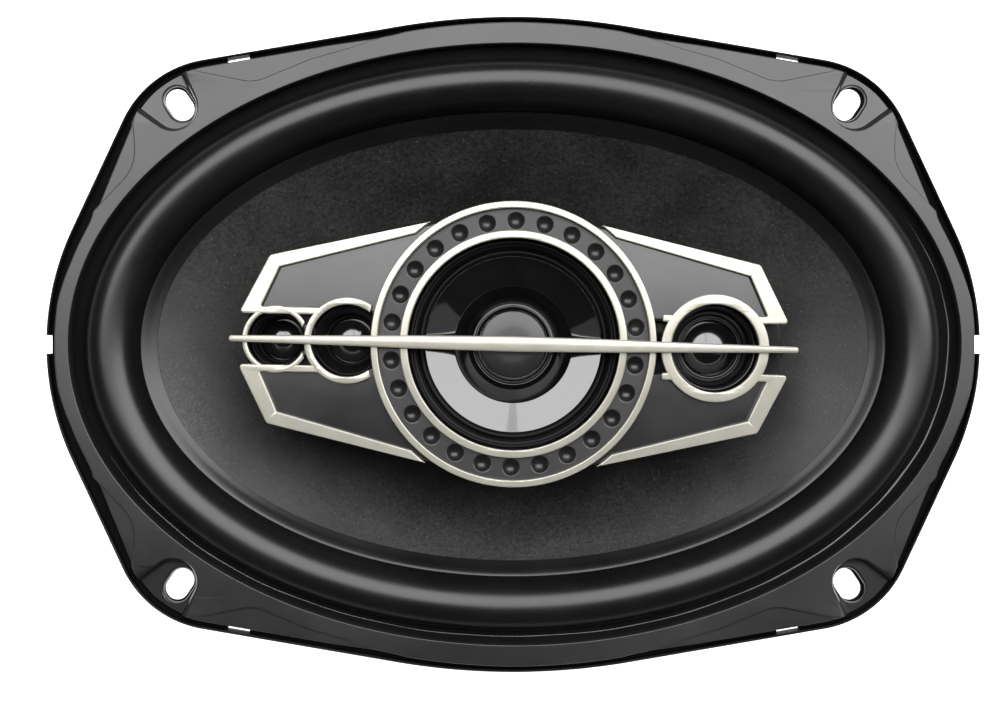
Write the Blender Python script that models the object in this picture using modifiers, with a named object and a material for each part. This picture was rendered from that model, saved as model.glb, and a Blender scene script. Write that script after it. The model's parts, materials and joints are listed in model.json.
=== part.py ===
"""Five-way coaxial car speaker for a 6 x 9 inch cut-out, lying on the back of its magnet.

The origin is the centre of the yoke's back face. +Z points at the listener, +X along the
speaker's long side and +Y along its short side. Every size below is in millimetres, and
the builders turn millimetres into Blender's metres.
"""

import math

import bmesh
import bpy
from mathutils import Matrix

MM = 0.001
GAP = 0.3  # clearance between two solids that touch on the real speaker
WELD = 1e-6  # metres; merges points that coincide
AXIS_MERGE = 0.00005  # metres; closes a turned shape on its axis
PAST = 5.0  # how far a cutter runs past the face it opens

# Overall size and outline: four quadrants of end arc, corner arc and side arc.
LENGTH = 235.0
WIDTH = 165.0
END_ARC_RADIUS = 68.4
END_ARC_STOP = 25.0  # degrees, where the end arc meets the straight run to the corner
CORNER_ARC_CENTRE = (73.8, 45.0)
CORNER_ARC_RADIUS = 27.0
SIDE_ARC_RADIUS = 173.4
SIDE_ARC_START = 80.3
SCREW_X = 84.3
SCREW_Y = 60.6
SCREW_SLOT_WIDTH = 5.9
SCREW_SLOT_LENGTH = 8.4
SCREW_SLOT_ANGLE = 56.0  # the slots point at the centres of the corner arcs

# Motor, from the back up.
YOKE_RADIUS = 45.0
YOKE_PLATE_TOP = 6.0
POLE_RADIUS = 15.9
POLE_TOP = 29.5
SHANK_BORE_RADIUS = 5.3
COUNTERBORE_RADIUS = 11.0
COUNTERBORE_DEPTH = 9.0
WIRE_SLOT_WIDTH = 5.0
WIRE_SLOT_DEPTH = 2.5
MAGNET_RADIUS = 48.0
MAGNET_BORE_RADIUS = 22.0
MAGNET_THICKNESS = 17.0
TOP_PLATE_THICKNESS = 5.0
TOP_PLATE_BORE_RADIUS = 18.4
MAGNET_BOTTOM = YOKE_PLATE_TOP + GAP
MAGNET_TOP = MAGNET_BOTTOM + MAGNET_THICKNESS
TOP_PLATE_BOTTOM = MAGNET_TOP + GAP
TOP_PLATE_TOP = TOP_PLATE_BOTTOM + TOP_PLATE_THICKNESS

# Basket.
BASKET_STEEL = 1.0
BASKET_FLOOR = TOP_PLATE_TOP + GAP + BASKET_STEEL / 2
SPIDER_LEDGE = 45.0
FLANGE_BOTTOM = 78.0
FLANGE_TOP = 79.2
LIP_TOP = 81.6
LIP_THICKNESS = 0.7
BOWL_MOUTH = (108.2, 72.2)
BASKET_RAYS = 56
BASKET_CUP = (40.5, 43.5, 44.5)  # radii: edge of the flat floor, foot and top of the cup
SPIDER_LEDGE_EDGE = 51.5
WALL_FOOT = (54.0, 53.0, 48.0)  # half axes and height where the ribbed wall starts
WALL_HEAD_Z = 77.0
WALL_HEAD_INSET = 1.2
WINDOW_PERIOD = 4  # rays from one rib to the next; the last of them is the rib
WINDOW_SHARES = (0.18, 0.80)  # where up the wall the windows start and stop
SLIT_CENTRE = (69.3, 71.8)
SLIT_SIZE = (5.6, 1.0)
SLIT_ANGLE = -9.7
RIVET_CIRCLE = 31.0
RIVET_SHANK_RADIUS = 2.0
RIVET_HEAD_RADIUS = 3.8
RIVET_HEAD_HEIGHT = 1.3

# Gasket, surround and cone.
GASKET_INNER = (112.6, 76.0)
GASKET_OUTER_INSET = 1.1
GASKET_BOTTOM = FLANGE_TOP + GAP
GASKET_TOP = 83.8
POCKET_FLOOR = 81.4
POCKET_WIDTH = 12.0
POCKET_LENGTH = 40.0  # long enough to run out through the gasket's edge
POCKET_END = 2.4  # from the slot's inner end to the pocket's
GASKET_SLOT_MARGIN = 0.9  # how much longer and wider its slots are than the flange's
SURROUND_RAYS = 36
SURROUND_THICKNESS = 0.7
SURROUND_OUTER = (112.3, 75.7)
ROLL_OUTER = (108.1, 72.2)
ROLL_INNER = (94.3, 58.8)
SURROUND_INNER = (90.4, 55.0)
ROLL_HEIGHT = 6.2
CONE_RIM = (92.0, 57.0)
CONE_NECK_RADIUS = 17.6
CONE_NECK_Z = 49.8
CONE_RIM_Z = 77.2
CONE_THICKNESS = 0.6
CONE_FLARE = 1.08  # 1 would be a straight-sided cone

# Voice coil and spider.
FORMER_INNER = 16.5
FORMER_OUTER = 16.9
FORMER_BOTTOM = 18.0
FORMER_TOP = 52.0
WINDING_INNER = FORMER_OUTER + 0.1
WINDING_OUTER = 17.75
WINDING_BOTTOM = 19.5
WINDING_TOP = 32.5
SPIDER_INNER = 17.3
SPIDER_OUTER = 50.0
SPIDER_FLAT = 43.0  # outside this radius the spider is flat, for the ledge
SPIDER_THICKNESS = 0.5
SPIDER_Z = SPIDER_LEDGE + BASKET_STEEL / 2 + GAP + SPIDER_THICKNESS / 2
SPIDER_WAVES = 3
SPIDER_WAVE_HEIGHT = 1.3

# Pod on its post. The whole pod is turned a little about the post.
POD_CLOCKING = -1.2
POST_RADIUS = 8.5
POST_SHANK_RADIUS = 5.0
POST_WIRE_BORE = 2.4
POST_SHANK_BOTTOM = 3.0
POST_TOP = 64.0
POST_COLLAR = 3.0  # height of the collar under the pod, and how far it stands out
WASHER_RADIUS = 9.6
WASHER_THICKNESS = 1.0
NUT_RADIUS = 8.8
NUT_HEIGHT = 3.4
HOUSING_FLOOR = 79.0
HOUSING_TOP = 91.0
HOUSING_WALL = 1.5
CUP_RADIUS = 24.0
CUP_BOTTOM = 66.5
BOSS_RADIUS = 10.5
FACE_BOTTOM = HOUSING_TOP + GAP
FACE_TOP = FACE_BOTTOM + 2.0
TRIM_BOTTOM = FACE_TOP + GAP
TRIM_TOP = 95.2
BAR_TOP = 97.0
BAR_HALF_LENGTH = 69.0
BAR_HALF_WIDTH_CENTRE = 1.9
BAR_HALF_WIDTH_END = 0.7
POD_CIRCLE = 34.4
WING_TIP = (66.7, 64.9, 6.2)  # x on the centre line, x and y of the tip's shoulder
WING_CORNER = (59.0, 19.9)
WING_MEETS_CIRCLE = 59.4  # degrees
MID_OPENING = 25.8
BIG_RINGS = ((MID_OPENING, 27.7), (33.1, 34.8))
RING_CLEARANCE_RADIUS = 35.8  # wing trim stops here, short of the big ring
RAIL_LOW = 6.2
RAIL_HIGH = 7.9
POD_SCREWS = ((30.0, 22.0), (-30.0, 22.0), (-30.0, -22.0), (30.0, -22.0))
POD_SCREW_RADIUS = 1.2
POD_SCREW_HOLE_RADIUS = 1.5
POD_SCREW_HEAD_RADIUS = 2.5
POD_SCREW_DEPTH = 2.5  # from the back of the face to the screw's tip
POD_BOSS_RADIUS = 2.7
POD_FLOOR_TOP = HOUSING_FLOOR + HOUSING_WALL
DRIVER_TOP = FACE_BOTTOM - 0.6
SMALL_DRIVER_FLOOR = 82.6
SMALL_DRIVER_STEP = 1.0  # between the levels of a small driver's floor
SHELL = 0.35  # thickness of a tweeter dome
DOME_RISE = 0.25  # height of a dome as a share of its radius
DOME_CLEARANCE = 0.4
COIL_DEPTH = 2.4
CAPACITOR_RADIUS = 3.4
CAPACITOR_HALF_LENGTH = 6.0
CAPACITOR_CENTRE = (46.0, 15.4)

# Small drivers in the pod: centre along the pod, then radii of opening, trim ring and dome.
TWEETER = {"name": "tweeter", "x": 49.0, "opening": 10.7, "ring": 13.15, "dome": 6.4}
INNER_SUPER = {"name": "super_tweeter_inner", "x": -40.5, "opening": 8.8, "ring": 10.5, "dome": 5.2}
OUTER_SUPER = {"name": "super_tweeter_outer", "x": -57.8, "opening": 7.0, "ring": 8.2, "dome": 4.8}
SMALL_DRIVERS = (TWEETER, INNER_SUPER, OUTER_SUPER)
C_RING_CUT = 11.3  # the outer ring stops this far from the inner super tweeter's axis

# Terminal board on a bracket of the basket, on the -Y side.
BRACKET_HALF_WIDTH = 9.0
BRACKET_FACE_Y = -56.4
BRACKET_ROOT_Y = -48.0
BRACKET_BOTTOM = 36.0
BOARD_HALF_WIDTH = 16.0
BOARD_THICKNESS = 1.6
BOARD_BOTTOM = 34.0
BOARD_TOP = 50.0
BOARD_RIVET_X = 5.0
BOARD_RIVET_Z = 40.5
BOARD_RIVET_RADIUS = 1.5
BOARD_RIVET_HEAD = 2.6
TERMINAL_X = 11.2
TERMINAL_WIDTHS = {"terminal_positive": 4.75, "terminal_negative": 2.8}
TERMINAL_THICKNESS = 0.8
TERMINAL_BOTTOM = 25.0
TERMINAL_TOP = 44.0


# ---------------------------------------------------------------- scene and objects


def clear_scene():
    for item in list(bpy.data.objects):
        bpy.data.objects.remove(item, do_unlink=True)


def new_collection(name):
    collection = bpy.data.collections.new(name)
    bpy.context.scene.collection.children.link(collection)
    return collection


def make_material(name, colour, roughness, metallic=0.0):
    material = bpy.data.materials.new(name)
    material.use_nodes = True
    shader = material.node_tree.nodes["Principled BSDF"]
    shader.inputs["Base Color"].default_value = (*colour, 1.0)
    shader.inputs["Roughness"].default_value = roughness
    shader.inputs["Metallic"].default_value = metallic
    return material


def place(item, collection, parent=None):
    collection.objects.link(item)
    item.parent = parent
    return item


def as_part(item, material):
    """Shows an object as one node of the speaker, with its material and smooth shading."""
    item.data.materials.append(material)
    item.data.shade_smooth()
    item.data.set_sharp_from_angle(angle=math.radians(30))
    return item


def as_helper(item):
    """Hides an object that only cuts or extends another."""
    item.hide_render = True
    item.display_type = "WIRE"
    return item


def boolean(item, operation, helper):
    modifier = item.modifiers.new(helper.name, "BOOLEAN")
    modifier.operation = operation
    modifier.solver = "EXACT"
    modifier.object = as_helper(helper)


def cut(item, *helpers):
    for helper in helpers:
        boolean(item, "DIFFERENCE", helper)
    return item


def join(item, *helpers):
    for helper in helpers:
        boolean(item, "UNION", helper)
    return item


def mesh_item(name, bm):
    mesh = bpy.data.meshes.new(name)
    bm.to_mesh(mesh)
    bm.free()
    return bpy.data.objects.new(name, mesh)


# ---------------------------------------------------------------- outlines in the XY plane


def arc(centre, radius, start, stop, count):
    """Points on an arc, both ends included; angles in degrees."""
    angles = [math.radians(start + (stop - start) * i / (count - 1)) for i in range(count)]
    return [(centre[0] + radius * math.cos(a), centre[1] + radius * math.sin(a)) for a in angles]


def ellipse(half_x, half_y, count, centre=(0.0, 0.0)):
    angles = [2 * math.pi * (i + 0.5) / count for i in range(count)]
    return [(centre[0] + half_x * math.cos(a), centre[1] + half_y * math.sin(a)) for a in angles]


def circle(radius, count, centre=(0.0, 0.0)):
    return ellipse(radius, radius, count, centre)


def rectangle(x_low, x_high, y_low, y_high):
    return [(x_low, y_low), (x_high, y_low), (x_high, y_high), (x_low, y_high)]


def turn(points, degrees, centre=(0.0, 0.0)):
    """Points given about the origin, turned and moved to a centre."""
    cosine, sine = math.cos(math.radians(degrees)), math.sin(math.radians(degrees))
    return [(centre[0] + x * cosine - y * sine, centre[1] + x * sine + y * cosine) for x, y in points]


def stadium(width, length, count=6):
    """A slot with round ends, along X."""
    radius = width / 2
    reach = length / 2 - radius
    return arc((reach, 0), radius, -90, 90, count) + arc((-reach, 0), radius, 90, 270, count)


def four_quadrants(quadrant):
    """A closed outline from first-quadrant points that run from the X axis to the Y axis."""
    top = quadrant + [(-x, y) for x, y in reversed(quadrant)][1:]
    return top + [(x, -y) for x, y in reversed(top)][1:-1]


def flange_outline(inset):
    end_x = LENGTH / 2 - END_ARC_RADIUS
    side_y = WIDTH / 2 - SIDE_ARC_RADIUS
    return four_quadrants(
        arc((end_x, 0), END_ARC_RADIUS - inset, 0, END_ARC_STOP, 4)
        + arc(CORNER_ARC_CENTRE, CORNER_ARC_RADIUS - inset, END_ARC_STOP, SIDE_ARC_START, 7)
        + arc((0, side_y), SIDE_ARC_RADIUS - inset, SIDE_ARC_START, 90, 3)
    )


def each_corner(points, centre, degrees):
    """One outline turned to the first quadrant's corner and mirrored to the other three."""
    first = turn(points, degrees, centre)
    return [[(sx * x, sy * y) for x, y in first] for sx in (1, -1) for sy in (1, -1)]


def pod_outline(inset):
    """The pod's plan: two wings with cropped corners that run into a round middle."""
    tip_x, shoulder_x, shoulder_y = WING_TIP
    corner_x, corner_y = WING_CORNER
    return four_quadrants(
        [
            (tip_x - inset, 0.0),
            (shoulder_x - inset, shoulder_y),
            (corner_x - inset, corner_y - 0.6 * inset),
        ]
        + arc((0, 0), POD_CIRCLE - inset, WING_MEETS_CIRCLE, 90, 5)
    )


# ---------------------------------------------------------------- builders of solids


def plate(name, outlines, bottom, top, collection, parent=None):
    """A flat plate from one outer outline, with any further outlines as holes."""
    curve = bpy.data.curves.new(name, "CURVE")
    curve.dimensions = "2D"
    curve.fill_mode = "BOTH"
    curve.extrude = (top - bottom) / 2 * MM
    for outline in outlines:
        spline = curve.splines.new("POLY")
        spline.points.add(len(outline) - 1)
        for point, (x, y) in zip(spline.points, outline):
            point.co = (x * MM, y * MM, 0.0, 1.0)
        spline.use_cyclic_u = True
    flat = bpy.data.objects.new(name + "_outline", curve)
    bpy.context.scene.collection.objects.link(flat)
    evaluated = flat.evaluated_get(bpy.context.evaluated_depsgraph_get())
    mesh = bpy.data.meshes.new_from_object(evaluated)
    bpy.data.objects.remove(flat, do_unlink=True)
    bm = bmesh.new()
    bm.from_mesh(mesh)
    bpy.data.meshes.remove(mesh)
    bmesh.ops.remove_doubles(bm, verts=bm.verts, dist=WELD)
    bmesh.ops.translate(bm, verts=bm.verts, vec=(0, 0, (top + bottom) / 2 * MM))
    bmesh.ops.recalc_face_normals(bm, faces=bm.faces)
    return place(mesh_item(name, bm), collection, parent)


def turned(name, profile, steps, collection, parent=None, centre=(0.0, 0.0)):
    """A ring turned about a vertical axis from (radius, height) points.

    The profile runs down the outer side, in along the bottom and up the inner side. One
    that starts and ends at radius 0 stays open there and is merged on the axis.
    """
    on_axis = profile[0][0] == 0
    bm = bmesh.new()
    points = [bm.verts.new((radius * MM, 0, height * MM)) for radius, height in profile]
    for first, second in zip(points, points[1:]):
        bm.edges.new((first, second))
    if not on_axis:
        bm.edges.new((points[-1], points[0]))
    item = place(mesh_item(name, bm), collection, parent)
    item.location = (centre[0] * MM, centre[1] * MM, 0)
    screw = item.modifiers.new("turn", "SCREW")
    screw.steps = steps
    screw.render_steps = steps
    screw.use_merge_vertices = on_axis
    screw.merge_threshold = AXIS_MERGE
    screw.use_smooth_shade = False
    return item


def drum(name, radius, bottom, top, sides, collection, parent=None, centre=(0.0, 0.0)):
    """A plain upright cylinder."""
    bm = bmesh.new()
    bmesh.ops.create_cone(
        bm,
        cap_ends=True,
        segments=sides,
        radius1=radius * MM,
        radius2=radius * MM,
        depth=(top - bottom) * MM,
        matrix=Matrix.Translation((centre[0] * MM, centre[1] * MM, (top + bottom) / 2 * MM)),
    )
    return place(mesh_item(name, bm), collection, parent)


def box(name, low, high, collection, parent=None):
    size = [(b - a) * MM for a, b in zip(low, high)]
    middle = [(b + a) / 2 * MM for a, b in zip(low, high)]
    bm = bmesh.new()
    bmesh.ops.create_cube(bm, size=1, matrix=Matrix.Translation(middle) @ Matrix.Diagonal((*size, 1)))
    return place(mesh_item(name, bm), collection, parent)


def loft(name, rings, closed, collection, open_at=None):
    """Quads between rings of equal length, each a list of (x, y, z).

    A closed loft also joins the last ring to the first. open_at(band, ray) names the quads
    that are left out.
    """
    bm = bmesh.new()
    rows = [[bm.verts.new([value * MM for value in point]) for point in ring] for ring in rings]
    pairs = list(zip(rows, rows[1:]))
    if closed:
        pairs.append((rows[-1], rows[0]))
    for band, (low, high) in enumerate(pairs):
        for ray in range(len(low)):
            following = (ray + 1) % len(low)
            if open_at is None or not open_at(band, ray):
                bm.faces.new((low[ray], low[following], high[following], high[ray]))
    bmesh.ops.recalc_face_normals(bm, faces=bm.faces)
    return place(mesh_item(name, bm), collection)


def thicken(item, thickness):
    """Gives an open sheet its thickness, half on each side."""
    modifier = item.modifiers.new("thickness", "SOLIDIFY")
    modifier.thickness = thickness * MM
    modifier.offset = 0
    modifier.use_even_offset = True
    return item


def ring(half_axes, height, count):
    return [(x, y, height) for x, y in ellipse(*half_axes, count)]


def wire(name, route, radius, collection, parent=None):
    """A round wire along a smooth curve through hand-placed route points."""
    points = []
    last = len(route) - 1
    for i in range(last):
        before, start, end, after = (route[max(0, min(last, k))] for k in (i - 1, i, i + 1, i + 2))
        for t in (0.0, 0.5):
            points.append([catmull_rom(*values, t) for values in zip(before, start, end, after)])
    points.append(list(route[-1]))
    curve = bpy.data.curves.new(name, "CURVE")
    curve.dimensions = "3D"
    curve.bevel_depth = radius * MM
    curve.bevel_resolution = 2
    curve.use_fill_caps = True
    spline = curve.splines.new("POLY")
    spline.points.add(len(points) - 1)
    for spot, point in zip(spline.points, points):
        spot.co = (*(value * MM for value in point), 1.0)
    return place(bpy.data.objects.new(name, curve), collection, parent)


def catmull_rom(before, start, end, after, t):
    return 0.5 * (
        2 * start
        + (end - before) * t
        + (2 * before - 5 * start + 4 * end - after) * t**2
        + (3 * start - before - 3 * end + after) * t**3
    )


# ---------------------------------------------------------------- motor


def make_motor(parts, helpers, materials):
    yoke = turned(
        "t_yoke",
        [
            (POLE_RADIUS, POLE_TOP),
            (POLE_RADIUS, YOKE_PLATE_TOP),
            (YOKE_RADIUS, YOKE_PLATE_TOP),
            (YOKE_RADIUS, 0),
            (COUNTERBORE_RADIUS, 0),
            (COUNTERBORE_RADIUS, COUNTERBORE_DEPTH),
            (SHANK_BORE_RADIUS, COUNTERBORE_DEPTH),
            (SHANK_BORE_RADIUS, POLE_TOP),
        ],
        36,
        parts,
    )
    slot = box(
        "wire_slot",
        (-WIRE_SLOT_WIDTH / 2, -YOKE_RADIUS - PAST, -PAST),
        (WIRE_SLOT_WIDTH / 2, -COUNTERBORE_RADIUS + 2, WIRE_SLOT_DEPTH),
        helpers,
    )
    as_part(cut(yoke, slot), materials["plated_steel"])

    magnet = turned(
        "magnet",
        [
            (MAGNET_RADIUS, MAGNET_TOP),
            (MAGNET_RADIUS, MAGNET_BOTTOM),
            (MAGNET_BORE_RADIUS, MAGNET_BOTTOM),
            (MAGNET_BORE_RADIUS, MAGNET_TOP),
        ],
        36,
        parts,
    )
    as_part(magnet, materials["ferrite"])

    top_plate = turned(
        "top_plate",
        [
            (YOKE_RADIUS, TOP_PLATE_TOP),
            (YOKE_RADIUS, TOP_PLATE_BOTTOM),
            (TOP_PLATE_BORE_RADIUS, TOP_PLATE_BOTTOM),
            (TOP_PLATE_BORE_RADIUS, TOP_PLATE_TOP),
        ],
        36,
        parts,
    )
    as_part(top_plate, materials["plated_steel"])
    for number, centre in enumerate(rivet_centres(), 1):
        hole = drum(
            f"rivet_hole_{number}",
            RIVET_SHANK_RADIUS + GAP,
            TOP_PLATE_BOTTOM - PAST,
            TOP_PLATE_TOP + PAST,
            10,
            helpers,
            centre=centre,
        )
        cut(top_plate, hole)
        make_rivet(f"basket_rivet_{number}", centre, parts, materials)


def rivet_centres():
    return [turn([(RIVET_CIRCLE, 0)], angle)[0] for angle in (45, 135, 225, 315)]


def make_rivet(name, centre, parts, materials):
    under_head = BASKET_FLOOR + BASKET_STEEL / 2 + GAP
    tail = TOP_PLATE_BOTTOM + GAP
    rivet = turned(
        name,
        [
            (0, under_head + RIVET_HEAD_HEIGHT),
            (RIVET_HEAD_RADIUS, under_head + RIVET_HEAD_HEIGHT / 2),
            (RIVET_HEAD_RADIUS, under_head),
            (RIVET_SHANK_RADIUS, under_head),
            (RIVET_SHANK_RADIUS, tail),
            (0, tail),
        ],
        10,
        parts,
        centre=centre,
    )
    as_part(rivet, materials["plated_steel"])


# ---------------------------------------------------------------- basket and terminals


def make_basket(parts, helpers, materials):
    """Pressed steel: a round floor and cup, a spider ledge, ribbed walls and the flange."""
    mouth_x, mouth_y = BOWL_MOUTH
    floor_edge, cup_foot, cup_top = BASKET_CUP
    wall_head = (mouth_x - WALL_HEAD_INSET, mouth_y - WALL_HEAD_INSET, WALL_HEAD_Z)
    windows = [
        tuple(foot + (head - foot) * share for foot, head in zip(WALL_FOOT, wall_head))
        for share in WINDOW_SHARES
    ]
    sections = [
        (MAGNET_BORE_RADIUS - 1, MAGNET_BORE_RADIUS - 1, BASKET_FLOOR),
        (floor_edge, floor_edge, BASKET_FLOOR),
        (cup_foot, cup_foot, BASKET_FLOOR + 2.5),
        (cup_top, cup_top, SPIDER_LEDGE),
        (SPIDER_LEDGE_EDGE, SPIDER_LEDGE_EDGE, SPIDER_LEDGE),
        WALL_FOOT,
        *windows,
        wall_head,
        (mouth_x, mouth_y, (FLANGE_BOTTOM + FLANGE_TOP) / 2 + 0.2),
    ]
    window_band = 6

    def in_window(band, ray):
        return band == window_band and ray % WINDOW_PERIOD != WINDOW_PERIOD - 1

    rings = [ring(section[:2], section[2], BASKET_RAYS) for section in sections]
    basket = thicken(loft("basket", rings, False, parts, in_window), BASKET_STEEL)

    slots = each_corner(stadium(SCREW_SLOT_WIDTH, SCREW_SLOT_LENGTH), (SCREW_X, SCREW_Y), SCREW_SLOT_ANGLE)
    half_slit = [value / 2 for value in SLIT_SIZE]
    slit = rectangle(-half_slit[0], half_slit[0], -half_slit[1], half_slit[1])
    slits = each_corner(slit, SLIT_CENTRE, SLIT_ANGLE)
    flange = plate(
        "flange",
        [flange_outline(0), ellipse(*BOWL_MOUTH, BASKET_RAYS), *slots, *slits],
        FLANGE_BOTTOM,
        FLANGE_TOP,
        helpers,
    )
    lip = plate(
        "flange_lip", [flange_outline(0), flange_outline(LIP_THICKNESS)], FLANGE_BOTTOM, LIP_TOP, helpers
    )
    half_bracket = 0.4
    bracket_foot = box(
        "bracket_foot",
        (-BRACKET_HALF_WIDTH, BRACKET_FACE_Y, SPIDER_LEDGE - half_bracket),
        (BRACKET_HALF_WIDTH, BRACKET_ROOT_Y, SPIDER_LEDGE + half_bracket),
        helpers,
    )
    bracket_face = box(
        "bracket_face",
        (-BRACKET_HALF_WIDTH, BRACKET_FACE_Y, BRACKET_BOTTOM),
        (BRACKET_HALF_WIDTH, BRACKET_FACE_Y + BASKET_STEEL, SPIDER_LEDGE + half_bracket),
        helpers,
    )
    join(basket, flange, lip, bracket_foot, bracket_face)
    for number, centre in enumerate(rivet_centres(), 1):
        hole = drum(
            f"basket_hole_{number}",
            RIVET_SHANK_RADIUS + GAP,
            BASKET_FLOOR - BASKET_STEEL,
            BASKET_FLOOR + BASKET_STEEL,
            10,
            helpers,
            centre=centre,
        )
        cut(basket, hole)
    as_part(basket, materials["basket_paint"])
    for side in (-1, 1):
        cut(basket, board_hole(f"bracket_hole_{side + 2}", side, helpers))


def board_hole(name, side, helpers):
    hole = drum(name, BOARD_RIVET_RADIUS + GAP, -4, 4, 10, helpers)
    hole.rotation_euler.x = math.radians(90)
    hole.location = (side * BOARD_RIVET_X * MM, BRACKET_FACE_Y * MM, BOARD_RIVET_Z * MM)
    return hole


def make_terminals(parts, helpers, materials):
    """A hard paper board on the bracket with one wide and one narrow push-on tab."""
    board_back = BRACKET_FACE_Y - GAP
    board_front = board_back - BOARD_THICKNESS
    board = box(
        "terminal_board",
        (-BOARD_HALF_WIDTH, board_front, BOARD_BOTTOM),
        (BOARD_HALF_WIDTH, board_back, BOARD_TOP),
        parts,
    )
    tail = -BOARD_THICKNESS - GAP - BASKET_STEEL
    for number, side in enumerate((-1, 1), 1):
        cut(board, board_hole(f"board_hole_{number}", side, helpers))
        rivet = turned(
            f"terminal_rivet_{number}",
            [
                (0, 1.0),
                (BOARD_RIVET_HEAD, 0.5),
                (BOARD_RIVET_HEAD, GAP),
                (BOARD_RIVET_RADIUS, GAP),
                (BOARD_RIVET_RADIUS, tail),
                (0, tail),
            ],
            10,
            parts,
        )
        rivet.location = (side * BOARD_RIVET_X * MM, board_front * MM, BOARD_RIVET_Z * MM)
        rivet.rotation_euler.x = math.radians(90)
        as_part(rivet, materials["plated_steel"])
    as_part(board, materials["board_paper"])
    for side, (name, width) in zip((1, -1), TERMINAL_WIDTHS.items()):
        middle = side * TERMINAL_X
        tab = box(
            name,
            (middle - width / 2, board_front - GAP - TERMINAL_THICKNESS, TERMINAL_BOTTOM),
            (middle + width / 2, board_front - GAP, TERMINAL_TOP),
            parts,
        )
        bevel = tab.modifiers.new("edges", "BEVEL")
        bevel.width = 0.25 * MM
        bevel.segments = 1
        as_part(tab, materials["terminal_brass"])


def make_gasket(parts, helpers, materials):
    """The rubber trim ring on the flange, with a recessed pocket round each screw slot."""
    slot = stadium(SCREW_SLOT_WIDTH + GASKET_SLOT_MARGIN, SCREW_SLOT_LENGTH + GASKET_SLOT_MARGIN)
    slots = each_corner(slot, (SCREW_X, SCREW_Y), SCREW_SLOT_ANGLE)
    outlines = [flange_outline(GASKET_OUTER_INSET), ellipse(*GASKET_INNER, BASKET_RAYS), *slots]
    gasket = plate("trim_gasket", outlines, GASKET_BOTTOM, GASKET_TOP, parts)
    reach = POCKET_LENGTH / 2 - SCREW_SLOT_LENGTH / 2 - POCKET_END
    pocket = [(x + reach, y) for x, y in stadium(POCKET_WIDTH, POCKET_LENGTH)]
    corners = each_corner(pocket, (SCREW_X, SCREW_Y), SCREW_SLOT_ANGLE)
    for number, outline in enumerate(corners, 1):
        cut(gasket, plate(f"screw_pocket_{number}", [outline], POCKET_FLOOR, GASKET_TOP + PAST, helpers))
    as_part(gasket, materials["gasket_rubber"])


# ---------------------------------------------------------------- moving system of the woofer


def surround_section():
    """The top of the surround as (share from outer roll edge to inner, height)."""
    points = []
    count = 7
    for i in range(count):
        angle = math.pi * i / (count - 1)
        share = (1 - math.cos(angle)) / 2
        points.append((share, ROLL_HEIGHT * math.sin(angle)))
    return points


def make_surround(parts, materials):
    """A half roll between two lands. The outer land lies on the flange, the inner on the cone."""
    outer_top = FLANGE_TOP + GAP + SURROUND_THICKNESS
    inner_top = CONE_RIM_Z + CONE_THICKNESS / 2 + GAP + SURROUND_THICKNESS + 0.4
    top = [(SURROUND_OUTER, outer_top)]
    for share, height in surround_section():
        axes = tuple(a + (b - a) * share for a, b in zip(ROLL_OUTER, ROLL_INNER))
        top.append((axes, outer_top + (inner_top - outer_top) * share + height))
    top.append((SURROUND_INNER, inner_top - 0.5))
    bottom = [(axes, height - SURROUND_THICKNESS) for axes, height in reversed(top)]
    rings = [ring(axes, height, SURROUND_RAYS) for axes, height in top + bottom]
    as_part(loft("surround", rings, True, parts), materials["surround_rubber"])


def make_cone(parts, materials):
    shares = (0.0, 0.12, 0.35, 0.65, 1.0)
    rings = []
    for share in shares:
        axes = tuple(CONE_NECK_RADIUS + (rim - CONE_NECK_RADIUS) * share for rim in CONE_RIM)
        height = CONE_NECK_Z + (CONE_RIM_Z - CONE_NECK_Z) * share**CONE_FLARE
        rings.append(ring(axes, height, SURROUND_RAYS))
    as_part(thicken(loft("cone", rings, False, parts), CONE_THICKNESS), materials["cone_paper"])


def make_voice_coil(parts, materials):
    sizes = {
        "voice_coil_former": (FORMER_INNER, FORMER_OUTER, FORMER_BOTTOM, FORMER_TOP, "coil_former"),
        "voice_coil_winding": (WINDING_INNER, WINDING_OUTER, WINDING_BOTTOM, WINDING_TOP, "copper"),
    }
    for name, (inner, outer, bottom, top, material) in sizes.items():
        tube = turned(name, [(outer, top), (outer, bottom), (inner, bottom), (inner, top)], 28, parts)
        as_part(tube, materials[material])


def make_spider(parts, materials):
    """A corrugated cloth disc from the coil's neck to the basket's ledge."""
    count = 4 * SPIDER_WAVES + 1
    top = [(SPIDER_OUTER, SPIDER_Z)]
    for i in range(count):
        share = i / (count - 1)
        radius = SPIDER_FLAT + (SPIDER_INNER - SPIDER_FLAT) * share
        wave = SPIDER_WAVE_HEIGHT * math.sin(2 * math.pi * SPIDER_WAVES * share)
        top.append((radius, SPIDER_Z + wave))
    half = SPIDER_THICKNESS / 2
    under = [(radius, height - half) for radius, height in top]
    over = [(radius, height + half) for radius, height in reversed(top)]
    as_part(turned("spider", under + over, 20, parts), materials["spider_cloth"])


def make_leads(parts, materials):
    """Braided leads from the terminal board to the underside of the cone."""
    for name, side in (("tinsel_lead_positive", 1), ("tinsel_lead_negative", -1)):
        route = [
            (side * 13.0, -57.5, 50.9),
            (side * 11.0, -59.5, 53.5),
            (side * 9.0, -60.8, 57.5),
            (side * 8.8, -58.5, 61.0),
            (side * 8.8, -52.5, 61.5),
            (side * 8.8, -45.0, 58.5),
            (side * 8.6, -38.0, 55.8),
            (side * 8.4, -31.0, 57.0),
        ]
        as_part_curve(wire(name, route, 0.6, parts), materials["copper"])


def as_part_curve(item, material):
    item.data.materials.append(material)
    return item


# ---------------------------------------------------------------- pod


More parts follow.
